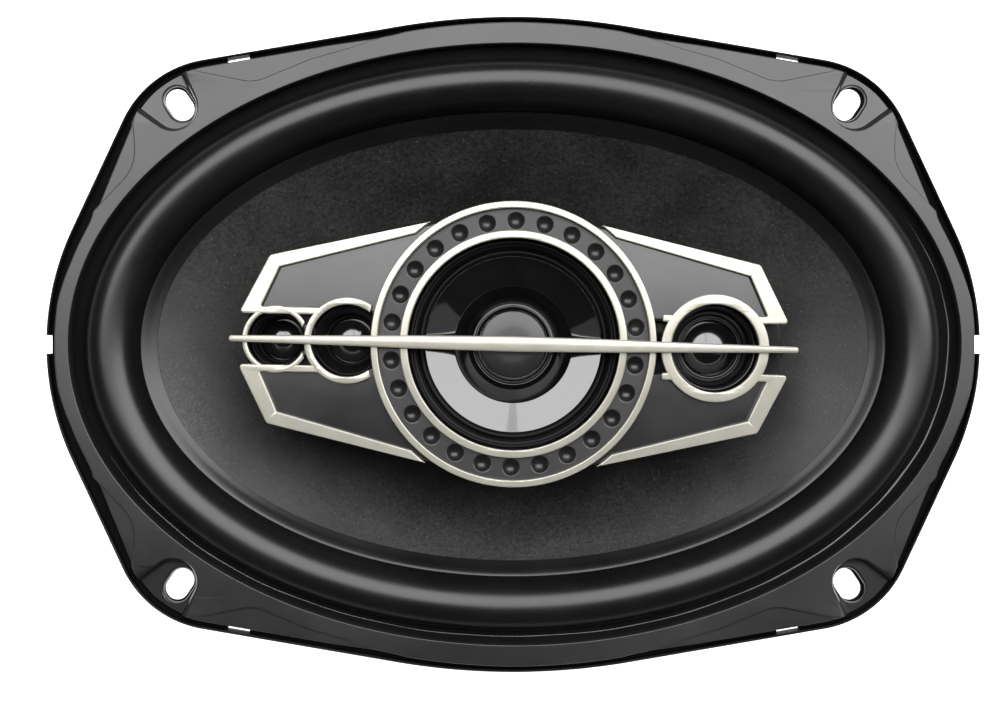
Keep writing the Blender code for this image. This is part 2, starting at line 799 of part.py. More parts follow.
def make_post(parts, helpers, materials):
    """A shouldered post: its shank goes through the pole and is held by a nut at the back."""
    shoulder = POLE_TOP + GAP
    collar = POST_RADIUS + POST_COLLAR
    post = turned(
        "pod_post",
        [
            (collar, POST_TOP),
            (collar, POST_TOP - POST_COLLAR),
            (POST_RADIUS, POST_TOP - 2 * POST_COLLAR),
            (POST_RADIUS, shoulder),
            (POST_SHANK_RADIUS, shoulder),
            (POST_SHANK_RADIUS, POST_SHANK_BOTTOM),
            (POST_WIRE_BORE, POST_SHANK_BOTTOM),
            (POST_WIRE_BORE, POST_TOP),
        ],
        20,
        parts,
    )
    as_part(post, materials["pod_plastic"])

    washer_top = COUNTERBORE_DEPTH - GAP
    washer_bottom = washer_top - WASHER_THICKNESS
    washer = turned(
        "pod_washer",
        [
            (WASHER_RADIUS, washer_top),
            (WASHER_RADIUS, washer_bottom),
            (SHANK_BORE_RADIUS, washer_bottom),
            (SHANK_BORE_RADIUS, washer_top),
        ],
        20,
        parts,
    )
    as_part(washer, materials["plated_steel"])

    nut_top = washer_bottom - GAP
    nut = drum("pod_nut", NUT_RADIUS, nut_top - NUT_HEIGHT, nut_top, 6, parts)
    cut(nut, drum("nut_bore", SHANK_BORE_RADIUS, -PAST, nut_top + PAST, 20, helpers))
    as_part(nut, materials["plated_steel"])


def make_pod_wires(parts, materials):
    """Two insulated wires down the post, along the slot in the yoke and up to the board."""
    for name, side in (("pod_wire_positive", 1), ("pod_wire_negative", -1)):
        route = [
            (side * 12.0, 0.0, 69.05),
            (side * 6.0, 0.0, 69.05),
            (side * 2.6, 0.0, 69.05),
            (side * 1.35, 0.0, 68.1),
            (side * 1.05, 0.0, 66.3),
            (side * 1.05, 0.0, 60.0),
            (side * 1.05, 0.0, 45.0),
            (side * 1.05, 0.0, 30.0),
            (side * 1.05, 0.0, 16.0),
            (side * 1.05, 0.0, 5.0),
            (side * 1.05, -1.0, 2.2),
            (side * 1.05, -4.5, 1.3),
            (side * 1.05, -16.0, 1.3),
            (side * 1.05, -30.0, 1.3),
            (side * 1.05, -43.0, 1.3),
            (side * 1.05, -48.6, 2.6),
            (side * 1.2, -50.2, 8.0),
            (side * 1.6, -50.4, 17.0),
            (side * 4.0, -51.4, 26.0),
            (side * 8.5, -54.0, 31.5),
            (side * 11.6, -55.4, 37.0),
        ]
        as_part_curve(wire(name, route, 0.7, parts), materials["wire_sleeve"])


def make_housing(parts, helpers, pod, materials):
    """The pod's lower shell: a winged tray with a round cup under the midrange driver."""
    housing = plate("pod_housing", [pod_outline(0)], HOUSING_FLOOR, HOUSING_TOP, parts, pod)
    cup = drum("housing_cup", CUP_RADIUS, CUP_BOTTOM, HOUSING_FLOOR + 1, 32, helpers, pod)
    boss = drum("housing_boss", BOSS_RADIUS, POST_TOP + GAP, CUP_BOTTOM + 1, 20, helpers, pod)
    join(housing, cup, boss)
    hollow = plate(
        "housing_hollow",
        [pod_outline(HOUSING_WALL)],
        POD_FLOOR_TOP,
        HOUSING_TOP + PAST,
        helpers,
        pod,
    )
    cup_hollow = drum(
        "cup_hollow", CUP_RADIUS - HOUSING_WALL, CUP_BOTTOM + HOUSING_WALL, HOUSING_TOP, 32, helpers, pod
    )
    bore = drum("boss_bore", POST_WIRE_BORE, POST_TOP - PAST, CUP_BOTTOM + PAST, 12, helpers, pod)
    cut(housing, hollow, cup_hollow, bore)
    for number, centre in enumerate(POD_SCREWS, 1):
        low, high = HOUSING_FLOOR - PAST, POD_FLOOR_TOP + PAST
        cut(housing, drum(f"floor_hole_{number}", POD_SCREW_HOLE_RADIUS, low, high, 8, helpers, pod, centre))
    as_part(housing, materials["pod_plastic"])


def d_shaped_opening(driver):
    """The inner super tweeter's round opening, cut straight into by the big ring's circle."""
    radius = driver["opening"]
    reach = abs(driver["x"])
    limit = RING_CLEARANCE_RADIUS - 1.0
    near = (limit**2 - radius**2 + reach**2) / (2 * reach)
    rise = math.sqrt(limit**2 - near**2)
    start = math.degrees(math.atan2(rise, reach - near))
    small = arc((driver["x"], 0), radius, start, 360 - start, 22)
    half_angle = math.degrees(math.atan2(rise, near))
    large = arc((0, 0), limit, 180 + half_angle, 180 - half_angle, 6)
    return small + large[1:-1]


def make_face(parts, helpers, pod, materials):
    """The moulded face with the driver openings and four screw bosses behind it."""
    holes = [
        circle(MID_OPENING, 40),
        circle(TWEETER["opening"], 24, (TWEETER["x"], 0)),
        d_shaped_opening(INNER_SUPER),
        circle(OUTER_SUPER["opening"], 20, (OUTER_SUPER["x"], 0)),
    ]
    face = plate("pod_face", [pod_outline(0), *holes], FACE_BOTTOM, FACE_TOP, parts, pod)
    boss_bottom = POD_FLOOR_TOP + GAP
    blind_end = FACE_BOTTOM - 1
    for number, centre in enumerate(POD_SCREWS, 1):
        boss = drum(
            f"boss_{number}", POD_BOSS_RADIUS, boss_bottom, FACE_BOTTOM + 1, 10, helpers, pod, centre
        )
        hole = drum(
            f"boss_hole_{number}",
            POD_SCREW_HOLE_RADIUS,
            boss_bottom - PAST,
            blind_end,
            8,
            helpers,
            pod,
            centre,
        )
        cut(join(face, boss), hole)
        make_pod_screw(f"pod_screw_{number}", centre, parts, pod, materials)
    as_part(face, materials["pod_plastic"])


def make_pod_screw(name, centre, parts, pod, materials):
    under_floor = HOUSING_FLOOR - GAP
    tip = FACE_BOTTOM - POD_SCREW_DEPTH
    screw = turned(
        name,
        [
            (0, tip),
            (POD_SCREW_RADIUS, tip),
            (POD_SCREW_RADIUS, under_floor),
            (POD_SCREW_HEAD_RADIUS, under_floor),
            (POD_SCREW_HEAD_RADIUS - 0.2, under_floor - 1.4),
            (0, under_floor - 1.7),
        ],
        10,
        parts,
        pod,
        centre,
    )
    as_part(screw, materials["plated_steel"])


def wing_frame(side_x, side_y):
    """One quarter of the silver frame: tip, cropped corner and the run towards the ring."""
    outline = [
        (57.5, RAIL_LOW),
        (66.2, RAIL_LOW),
        (66.6, 6.8),
        (59.7, 19.9),
        (58.4, 20.8),
        (18.0, 29.9),
        (18.0, 28.0),
        (57.2, 17.6),
        (61.6, RAIL_HIGH),
        (57.5, RAIL_HIGH),
    ]
    return [(side_x * x, side_y * y) for x, y in outline]


def make_trim(parts, helpers, pod, materials):
    """The silver grille: two big rings, wing frames, small rings, rails and a long bar."""
    inner, outer = BIG_RINGS
    trim = plate("pod_trim", [circle(outer[1], 44), circle(outer[0], 44)], TRIM_BOTTOM, TRIM_TOP, parts, pod)
    pieces = []

    def flat(name, outlines, clear_circle=None):
        piece = plate(name, outlines, TRIM_BOTTOM, TRIM_TOP, helpers, pod)
        if clear_circle:
            radius, centre = clear_circle
            low, high = TRIM_BOTTOM - PAST, TRIM_TOP + PAST
            cut(piece, drum(name + "_clear", radius, low, high, 44, helpers, pod, centre))
        pieces.append(piece)

    big = (RING_CLEARANCE_RADIUS, (0.0, 0.0))
    flat("inner_big_ring", [circle(inner[1], 40), circle(inner[0], 40)])
    for side_y in (1, -1):
        for side_x in (1, -1):
            flat(f"wing_frame_{side_x + 2}_{side_y + 2}", [wing_frame(side_x, side_y)], big)
        low, high = sorted((side_y * RAIL_LOW, side_y * RAIL_HIGH))
        flat(f"left_rail_{side_y + 2}", [rectangle(-64.0, -47.0, low, high)])
        flat(f"right_rail_{side_y + 2}", [rectangle(34.0, 38.6, low, high)], big)
    flat("tweeter_ring", ring_outlines(TWEETER, 26))
    flat("inner_super_ring", ring_outlines(INNER_SUPER, 24), big)
    flat("outer_super_ring", ring_outlines(OUTER_SUPER, 20), (C_RING_CUT, (INNER_SUPER["x"], 0.0)))
    bar = four_quadrants(
        [
            (BAR_HALF_LENGTH, 0.0),
            (BAR_HALF_LENGTH - 0.3, BAR_HALF_WIDTH_END),
            (MID_OPENING, 1.55),
            (0.0, BAR_HALF_WIDTH_CENTRE),
        ]
    )
    pieces.append(plate("long_bar", [bar], TRIM_BOTTOM, BAR_TOP, helpers, pod))
    join(trim, *pieces)
    as_part(trim, materials["trim_silver"])


def ring_outlines(driver, count):
    centre = (driver["x"], 0.0)
    return [circle(driver["ring"], count, centre), circle(driver["opening"], count, centre)]


def make_midrange(parts, pod, materials):
    """The midrange driver: frame, magnet, yoke, coil, glossy cone, surround and flat cap.

    Each profile is a list of (radius, height).
    """
    frame = [
        (25.3, DRIVER_TOP),
        (25.3, 86.6),
        (17.6, 78.2),
        (17.6, 76.2),
        (10.6, 76.2),
        (10.6, 77.2),
        (16.4, 77.2),
        (23.9, 86.4),
        (23.9, DRIVER_TOP),
    ]
    yoke = [
        (7.6, 78.0),
        (7.6, 71.6),
        (17.0, 71.6),
        (17.0, 70.0),
        (2.0, 70.0),
        (2.0, 78.0),
    ]
    magnet = [(16.0, 75.9), (16.0, 71.9), (9.9, 71.9), (9.9, 75.9)]
    coil = [(8.3, 79.2), (8.3, 73.4), (8.0, 73.4), (8.0, 79.2)]
    surround = [
        (23.5, 87.9),
        (23.5, 87.4),
        (22.9, 87.4),
        (22.4, 88.0),
        (21.9, 87.2),
        (21.3, 86.4),
        (21.3, 87.0),
        (21.7, 87.7),
        (22.4, 88.6),
        (23.0, 87.9),
    ]
    cone = [
        (21.0, 86.7),
        (21.0, 86.1),
        (14.8, 84.6),
        (10.3, 79.5),
        (8.7, 79.5),
        (8.7, 82.0),
        (9.6, 82.0),
        (9.9, 80.1),
        (14.6, 85.1),
    ]
    cap = [(0, 80.9), (7.4, 80.9), (8.4, 80.6), (8.4, 80.0), (0, 80.0)]
    pieces = (
        ("mid_frame", frame, 24, "pod_plastic"),
        ("mid_yoke", yoke, 24, "plated_steel"),
        ("mid_magnet", magnet, 24, "ferrite"),
        ("mid_voice_coil", coil, 24, "copper"),
        ("mid_surround", surround, 20, "surround_rubber"),
        ("mid_cone", cone, 24, "mid_cone_gloss"),
        ("mid_dust_cap", cap, 24, "mid_cap_grey"),
    )
    for name, profile, steps, material in pieces:
        as_part(turned(name, profile, steps, parts, pod), materials[material])


def make_small_driver(driver, parts, pod, materials):
    """A frame with a round well, a dome on its own short coil and a disc magnet below."""
    name = driver["name"]
    centre = (driver["x"], 0.0)
    radius = driver["dome"]
    floor = SMALL_DRIVER_FLOOR
    outside = driver["opening"] - 0.2
    well_top = driver["opening"] - 0.8
    well_foot = driver["opening"] - 1.2
    hole = radius + DOME_CLEARANCE
    frame = turned(
        name + "_frame",
        [
            (outside, DRIVER_TOP),
            (outside, floor - SMALL_DRIVER_STEP),
            (hole, floor - SMALL_DRIVER_STEP),
            (hole, floor + SMALL_DRIVER_STEP / 2),
            (well_foot, floor + SMALL_DRIVER_STEP),
            (well_top, DRIVER_TOP),
        ],
        20,
        parts,
        pod,
        centre,
    )
    as_part(frame, materials["pod_plastic"])

    base = floor + SMALL_DRIVER_STEP
    dome = turned(
        name + "_dome",
        dome_line(radius, base, DOME_RISE * radius)
        + [(radius, base - COIL_DEPTH), (radius - SHELL, base - COIL_DEPTH)]
        + dome_line(radius - SHELL, base, DOME_RISE * radius - SHELL)[::-1],
        14,
        parts,
        pod,
        centre,
    )
    as_part(dome, materials["tweeter_dome"])

    magnet_radius = radius - SHELL - DOME_CLEARANCE
    magnet_top = floor - DOME_CLEARANCE
    magnet = drum(
        name + "_magnet", magnet_radius, POD_FLOOR_TOP + GAP, magnet_top, 16, parts, pod, centre
    )
    as_part(magnet, materials["ferrite"])


def dome_line(radius, base, rise, count=5):
    """Half of an elliptical arch, from its top on the axis down to its foot."""
    angles = [math.pi / 2 * i / (count - 1) for i in range(count)]
    return [(radius * math.sin(a), base + rise * math.cos(a)) for a in angles]


def make_capacitors(parts, pod, materials):
    """Two crossover capacitors lying in the right wing, either side of the tweeter."""
    half = CAPACITOR_HALF_LENGTH
    x, reach = CAPACITOR_CENTRE
    height = POD_FLOOR_TOP + GAP + CAPACITOR_RADIUS
    for name, y in (("capacitor_midrange", reach), ("capacitor_tweeter", -reach)):
        can = drum(name, CAPACITOR_RADIUS, -half, half, 14, parts, pod)
        can.rotation_euler.y = math.radians(90)
        can.location = (x * MM, y * MM, height * MM)
        as_part(can, materials["capacitor_sleeve"])


# ---------------------------------------------------------------- assembly


def make_materials():
    return {
        "basket_paint": make_material("basket_paint", (0.012, 0.012, 0.013), 0.4, 0.3),
        "plated_steel": make_material("plated_steel", (0.55, 0.55, 0.52), 0.35, 1.0),
        "ferrite": make_material("ferrite", (0.03, 0.03, 0.032), 0.6),
        "gasket_rubber": make_material("gasket_rubber", (0.05, 0.05, 0.05), 0.5),
        "surround_rubber": make_material("surround_rubber", (0.02, 0.02, 0.021), 0.6),
        "cone_paper": make_material("cone_paper", (0.02, 0.02, 0.02), 0.75),
        "spider_cloth": make_material("spider_cloth", (0.35, 0.22, 0.08), 0.9),
        "coil_former": make_material("coil_former", (0.75, 0.75, 0.75), 0.3, 1.0),
        "copper": make_material("copper", (0.72, 0.35, 0.18), 0.35, 1.0),
        "terminal_brass": make_material("terminal_brass", (0.75, 0.6, 0.3), 0.3, 1.0),
        "board_paper": make_material("board_paper", (0.25, 0.13, 0.05), 0.6),
        "pod_plastic": make_material("pod_plastic", (0.03, 0.03, 0.03), 0.5),
        "wire_sleeve": make_material("wire_sleeve", (0.02, 0.02, 0.02), 0.5),
        "mid_cone_gloss": make_material("mid_cone_gloss", (0.008, 0.008, 0.009), 0.08),
        "mid_cap_grey": make_material("mid_cap_grey", (0.07, 0.07, 0.07), 0.6),
        "tweeter_dome": make_material("tweeter_dome", (0.015, 0.015, 0.015), 0.25),
        "capacitor_sleeve": make_material("capacitor_sleeve", (0.02, 0.05, 0.2), 0.4),
        "trim_silver": make_material("trim_silver", (0.72, 0.7, 0.62), 0.35, 0.9),
    }


def make_speaker():
    clear_scene()
    parts = new_collection("coaxial_car_speaker")
    helpers = new_collection("cutters")
    materials = make_materials()
    pod = place(bpy.data.objects.new("pod_axis", None), helpers)
    pod.rotation_euler.z = math.radians(POD_CLOCKING)

    make_motor(parts, helpers, materials)
    make_basket(parts, helpers, materials)
    make_terminals(parts, helpers, materials)
    make_gasket(parts, helpers, materials)
    make_surround(parts, materials)
    make_cone(parts, materials)
    make_voice_coil(parts, materials)
    make_spider(parts, materials)
    make_leads(parts, materials)
    make_post(parts, helpers, materials)
    make_pod_wires(parts, materials)
    make_housing(parts, helpers, pod, materials)
    make_face(parts, helpers, pod, materials)
    make_trim(parts, helpers, pod, materials)
    make_midrange(parts, pod, materials)
    for driver in SMALL_DRIVERS:
        make_small_driver(driver, parts, pod, materials)
    make_capacitors(parts, pod, materials)


make_speaker()
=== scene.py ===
"""Looks of the 6 x 9 inch coaxial speaker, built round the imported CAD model.

Lengths are in millimetres until a mesh is made, and in metres in the studio at the end.
+Z points at the listener, +X along the oval's long side, and the origin is the centre of the
yoke's back face, as in the CAD model.
"""

import json
import math

import bmesh
import bpy
import numpy as np
from mathutils import Matrix, Vector
from mathutils.geometry import tessellate_polygon

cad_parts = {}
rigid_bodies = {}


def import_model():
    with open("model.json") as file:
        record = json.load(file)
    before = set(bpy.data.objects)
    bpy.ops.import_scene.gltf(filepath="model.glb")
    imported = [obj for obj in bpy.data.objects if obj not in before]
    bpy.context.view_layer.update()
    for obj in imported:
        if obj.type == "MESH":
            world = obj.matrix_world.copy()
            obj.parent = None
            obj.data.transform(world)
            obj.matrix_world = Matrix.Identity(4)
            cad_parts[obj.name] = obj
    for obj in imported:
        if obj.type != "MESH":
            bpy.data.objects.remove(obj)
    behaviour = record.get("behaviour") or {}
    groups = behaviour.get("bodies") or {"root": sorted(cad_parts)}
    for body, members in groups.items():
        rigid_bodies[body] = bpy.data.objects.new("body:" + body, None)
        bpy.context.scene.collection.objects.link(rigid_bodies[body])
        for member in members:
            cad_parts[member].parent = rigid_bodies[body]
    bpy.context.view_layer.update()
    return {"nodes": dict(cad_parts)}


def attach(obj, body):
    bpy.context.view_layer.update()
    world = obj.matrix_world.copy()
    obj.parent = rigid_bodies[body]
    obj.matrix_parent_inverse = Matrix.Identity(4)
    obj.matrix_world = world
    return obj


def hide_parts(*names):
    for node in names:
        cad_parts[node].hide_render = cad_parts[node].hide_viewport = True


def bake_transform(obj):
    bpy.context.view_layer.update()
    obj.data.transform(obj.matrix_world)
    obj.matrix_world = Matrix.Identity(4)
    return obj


for leftover in list(bpy.data.objects):
    bpy.data.objects.remove(leftover, do_unlink=True)
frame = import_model()

MM = 0.001
ROOT = "speaker"
WOOFER = "woofer_cone"
MIDRANGE = "midrange_cone"

# Flange and basket, as in the CAD model.
LENGTH = 235.0
WIDTH = 165.0
END_ARC_RADIUS = 68.4
END_ARC_STOP = 25.0
CORNER_ARC_CENTRE = (73.8, 45.0)
CORNER_ARC_RADIUS = 27.0
SIDE_ARC_RADIUS = 173.4
SIDE_ARC_START = 80.3
SCREW = (84.3, 60.6)
SCREW_SLOT = (5.9, 8.4)
SLOT_ANGLE = 56.0
OUTLINE_POINTS = 480
FLANGE_BOTTOM = 78.0
FLANGE_TOP = 79.2
LIP_THICKNESS = 0.7
BOWL_MOUTH = (108.2, 72.2)
WALL_FOOT = (54.0, 53.0, 48.0)
WALL_HEAD = (107.0, 71.0, 77.0)
RAYS_PER_WINDOW = 8
WINDOWS = 14
SLIT_CENTRE = (69.3, 71.8)
SLIT_SIZE = (5.6, 1.0)
SLIT_ANGLE = -9.7
NOTCH_HALF_WIDTH = 2.3
NOTCH_DEPTH = 1.05

# Gasket. Its outline is stated as an inset from the flange's outline at each polar angle of
# a quadrant, and its raised level ends at two stepped lines beside each screw lug.
GASKET_BOTTOM = 79.5
GASKET_LOW = 83.0
GASKET_HIGH = 83.8
GASKET_RAISED_BOTTOM = 80.4
GASKET_EDGE = 0.3
GASKET_STEP_INSET = 0.16
GASKET_SLOT_PLAY = 0.7
GASKET_SHARE = 0.99
GASKET_INNER = (111.5, 75.1)
GASKET_SHIFT = 0.35
GASKET_INSET_ANGLES = (0, 5.4, 10.7, 15.8, 17.0, 17.3, 23.5, 29.6, 30.1, 35, 41, 58.8, 68.4, 70.6, 90)
GASKET_INSETS = (1.1, 1.0, 1.9, 2.4, 2.35, 2.8, 2.2, 1.7, 1.25, 1.1, 1.3, 1.3, 1.7, 1.15, 0.95)
END_STEP = (
    (106.5, 33.6), (104.0, 36.3), (100.8, 39.7), (98.3, 42.4),
    (96.8, 45.1), (96.2, 47.8), (96.2, 51.4), (96.6, 55.8),
)
SIDE_STEP = (
    (78.3, 68.7), (74.2, 67.9), (69.7, 67.0), (67.0, 66.6), (63.8, 67.1), (60.7, 68.4),
    (56.2, 70.2), (51.6, 72.1), (47.1, 73.4), (40.6, 75.3), (34.6, 77.3), (30.9, 78.1),
)
POCKET_CENTRE = (85.3, 59.4)
POCKET_RADIUS = 5.4
POCKET_WALLS = (36.5, 63.0)
POCKET_FLOOR = 81.4

# Surround, cone and coil.
RAYS = 288
SURROUND_OUTER = (112.3, 75.7)
ROLL_OUTER = (108.1, 72.2)
ROLL_INNER = (94.3, 58.8)
SURROUND_INNER = (90.4, 55.0)
ROLL_HEIGHT = 6.2
LAND_TOP = 80.2
INNER_LAND_TOP = 78.9
SURROUND_THICKNESS = 0.7
CONE_RIM = (92.0, 57.0)
CONE_NECK = 17.6
CONE_NECK_Z = 49.8
CONE_RIM_Z = 77.2
CONE_THICKNESS = 0.6
CONE_FLARE = 1.08
SPIDER_Z = 46.05

# Pod.
CLOCKING = -1.2
HOUSING_FLOOR = 79.0
HOUSING_TOP = 91.0
FACE_BOTTOM = 91.3
FACE_TOP = 93.3
TRIM_BOTTOM = 93.5
TRIM_TOP = 95.2
TRIM_EDGE = 0.3
BAR_TOP = 97.0
POD_CIRCLE = 34.4
POD_CIRCLE_START = 59.4
MID_OPENING = 25.8
BIG_RING_CLEAR = 35.8
DIMPLE_BAND = (26.2, 34.2)
DIMPLE_CIRCLE = 30.1
DIMPLE_RADIUS = 2.05
DIMPLE_STEP = 13.53
RAIL = (6.2, 7.9)
POD_SCREWS = ((30, 22), (-30, 22), (-30, -22), (30, -22))
DOME_RISE = 0.25
TWEETER = {"name": "tweeter", "x": 49.0, "opening": 10.7, "ring": 13.15, "dome": 6.4}
INNER_SUPER = {"name": "super_tweeter_inner", "x": -40.5, "opening": 8.8, "ring": 10.5, "dome": 5.2}
OUTER_SUPER = {"name": "super_tweeter_outer", "x": -57.8, "opening": 7.0, "ring": 8.2, "dome": 4.8}


# ---- points and outlines


def arc(centre, radius, start, stop, count):
    angles = np.radians(np.linspace(start, stop, count))
    return [(centre[0] + radius * math.cos(a), centre[1] + radius * math.sin(a)) for a in angles]


def circle(radius, count=128, centre=(0.0, 0.0)):
    return arc(centre, radius, 0, 360, count + 1)[:-1]


def full_turn(count):
    return np.arange(count) * 2 * math.pi / count


def ellipse(half, angles):
    return np.stack([half[0] * np.cos(angles), half[1] * np.sin(angles)], axis=1)


def radial(radius, degrees):
    return radius * math.cos(math.radians(degrees)), radius * math.sin(math.radians(degrees))


def turned(points, degrees, centre=(0.0, 0.0)):
    cosine, sine = radial(1, degrees)
    return [(centre[0] + x * cosine - y * sine, centre[1] + x * sine + y * cosine) for x, y in points]


def stadium(width, length, count=16):
    radius = width / 2
    reach = length / 2 - radius
    return arc((reach, 0), radius, -90, 90, count) + arc((-reach, 0), radius, 90, 270, count)


def rectangle(x_low, x_high, y_low, y_high):
    return [(x_low, y_low), (x_high, y_low), (x_high, y_high), (x_low, y_high)]


def fillet(points, radius, closed=True, steps=6):
    """Rounds the corners of an outline or a profile. Corners under 12 degrees stay as they are."""
    rounded = []
    for i, point in enumerate(points):
        here = np.array(point, float)
        to_before = np.array(points[i - 1], float) - here
        to_after = np.array(points[(i + 1) % len(points)], float) - here
        before_length, after_length = np.linalg.norm(to_before), np.linalg.norm(to_after)
        to_before, to_after = to_before / before_length, to_after / after_length
        between = math.acos(np.clip(to_before @ to_after, -1, 1))
        size = radius[i] if isinstance(radius, (list, tuple)) else radius
        is_end = not closed and i in (0, len(points) - 1)
        if is_end or size <= 0 or math.pi - between < math.radians(12):
            rounded.append(tuple(point))
            continue
        reach = min(size / math.tan(between / 2), 0.46 * before_length, 0.46 * after_length)
        size = reach * math.tan(between / 2)
        middle = to_before + to_after
        centre = here + middle / np.linalg.norm(middle) * size / math.sin(between / 2)
        start, stop = here + to_before * reach - centre, here + to_after * reach - centre
        sweep = math.atan2(start[0] * stop[1] - start[1] * stop[0], start @ stop)
        for k in range(steps + 1):
            angle = sweep * k / steps
            cosine, sine = math.cos(angle), math.sin(angle)
            x, y = start[0] * cosine - start[1] * sine, start[0] * sine + start[1] * cosine
            rounded.append((centre[0] + x, centre[1] + y))
    return rounded


def smooth_line(points, steps=6):
    """A Catmull-Rom curve through points of any dimension."""
    points = np.array(points, float)
    padded = np.vstack([2 * points[0] - points[1], points, 2 * points[-1] - points[-2]])
    line = []
    for i in range(1, len(padded) - 2):
        a, b, c, d = padded[i - 1 : i + 3]
        for t in np.arange(steps) / steps:
            curve = (2 * a - 5 * b + 4 * c - d) * t**2 + (3 * b - a - 3 * c + d) * t**3
            line.append(0.5 * (2 * b + (c - a) * t + curve))
    line.append(points[-1])
    return np.array(line)


def unit(vectors):
    return vectors / np.linalg.norm(vectors, axis=-1, keepdims=True)


def offset(points, distance):
    """Moves a closed outline to its left, which is inwards where it runs anticlockwise."""
    points = np.array(points, float)
    edges = np.roll(points, -1, axis=0) - points
    edges /= np.maximum(np.linalg.norm(edges, axis=1, keepdims=True), 1e-9)
    after = np.stack([-edges[:, 1], edges[:, 0]], axis=1)
    before = np.roll(after, 1, axis=0)
    share = np.maximum(1 + (after * before).sum(axis=1, keepdims=True), 0.35)
    return points + distance * (after + before) / share


def anticlockwise(points, wanted=True):
    points = np.array(points, float)
    x, y = points[:, 0], points[:, 1]
    area = (x * np.roll(y, -1) - y * np.roll(x, -1)).sum()
    return points if (area > 0) == wanted else points[::-1]


def four_quadrants(quadrant):
    top = list(quadrant) + [(-x, y) for x, y in reversed(quadrant)]
    whole = top + [(x, -y) for x, y in reversed(top)]
    return [p for p, q in zip(whole, whole[1:] + whole[:1]) if math.dist(p, q) > 1e-6]


def on_side(side, near, far):
    """The lower and upper end of a stretch on the positive (1) or negative (-1) side."""
    return sorted((side * near, side * far))


def each_corner(point):
    return [(side_x * point[0], side_y * point[1]) for side_x in (1, -1) for side_y in (1, -1)]


def flange_outline():
    """The flange's outline, evenly spaced, with its outward normals."""
    quadrant = (
        arc((LENGTH / 2 - END_ARC_RADIUS, 0), END_ARC_RADIUS, 0, END_ARC_STOP, 60)
        + arc(CORNER_ARC_CENTRE, CORNER_ARC_RADIUS, END_ARC_STOP, SIDE_ARC_START, 80)
        + arc((0, WIDTH / 2 - SIDE_ARC_RADIUS), SIDE_ARC_RADIUS, SIDE_ARC_START, 90, 60)
    )
    whole = np.array(four_quadrants(quadrant))
    whole = np.vstack([whole, whole[:1]])
    along = np.concatenate([[0], np.cumsum(np.linalg.norm(np.diff(whole, axis=0), axis=1))])
    spots = np.linspace(0, along[-1], OUTLINE_POINTS, endpoint=False)
    points = np.stack([np.interp(spots, along, whole[:, k]) for k in (0, 1)], axis=1)
    run = unit(np.roll(points, -1, axis=0) - np.roll(points, 1, axis=0))
    return points, np.stack([run[:, 1], -run[:, 0]], axis=1)


OUTLINE, OUTWARD = flange_outline()
POLAR = np.degrees(np.arctan2(np.abs(OUTLINE[:, 1]), np.abs(OUTLINE[:, 0])))


def inset_outline(inset):
    return OUTLINE - OUTWARD * np.reshape(inset, (-1, 1))


def ellipse_beside_outline(half):
    """A point of the ellipse for each point of the flange's outline."""
    return ellipse(half, np.arctan2(OUTLINE[:, 1] / half[1], OUTLINE[:, 0] / half[0]))


# ---- meshes


def linked(name, data):
    item = bpy.data.objects.new(name, data)
    bpy.context.scene.collection.objects.link(item)
    return item


def make_item(name, points, faces, smooth_angle=35):
    mesh = bpy.data.meshes.new(name)
    mesh.from_pydata((np.array(points, float) * MM).tolist(), [], faces)
    bm = bmesh.new()
    bm.from_mesh(mesh)
    bmesh.ops.recalc_face_normals(bm, faces=bm.faces)
    bm.to_mesh(mesh)
    bm.free()
    return shade(linked(name, mesh), smooth_angle)


def shade(item, smooth_angle=35):
    item.data.shade_smooth()
    item.data.set_sharp_from_angle(angle=math.radians(smooth_angle))
    return item


def grid_faces(rows, count, closed):
    """Quads between rows of equal length that run all the way round."""
    faces = []
    for row in range(rows if closed else rows - 1):
        low, high = row * count, (row + 1) % rows * count
        for i in range(count):
            j = (i + 1) % count
            faces.append((low + i, low + j, high + j, high + i))
    return faces


def loft(name, rings, smooth_angle=35):
    """A closed section carried round: each ring holds one point of it for every ray."""
    return make_item(name, np.vstack(rings), grid_faces(len(rings), len(rings[0]), True), smooth_angle)


def at_height(points, height):
    points = np.array(points, float)
    return np.column_stack([points, np.full(len(points), height)])


def lathe(name, profile, steps=128, centre=(0.0, 0.0), smooth_angle=35):
    """Turns (radius, height) points about a vertical axis. One that starts and ends on the axis
    is closed there by a fan."""
    angles = full_turn(steps)
    on_axis = profile[0][0] == 0
    inner = profile[1:-1] if on_axis else profile
    rings = [at_height(ellipse((radius, radius), angles) + centre, height) for radius, height in inner]
    points = np.vstack(rings)
    faces = grid_faces(len(rings), steps, not on_axis)
    if on_axis:
        tips = [(*centre, profile[0][1]), (*centre, profile[-1][1])]
        first, last = len(points), len(points) + 1
        points = np.vstack([points, tips])
        base = (len(rings) - 1) * steps
        for i in range(steps):
            j = (i + 1) % steps
            faces.append((first, i, j))
            faces.append((last, base + j, base + i))
    return make_item(name, points, faces, smooth_angle)


def drum(name, radius, bottom, top, steps, centre=(0.0, 0.0)):
    return lathe(name, [(0, bottom), (radius, bottom), (radius, top), (0, top)], steps, centre)


def band(outer, inner, bottom, top):
    """The profile of a plain ring."""
    return [(outer, top), (outer, bottom), (inner, bottom), (inner, top)]


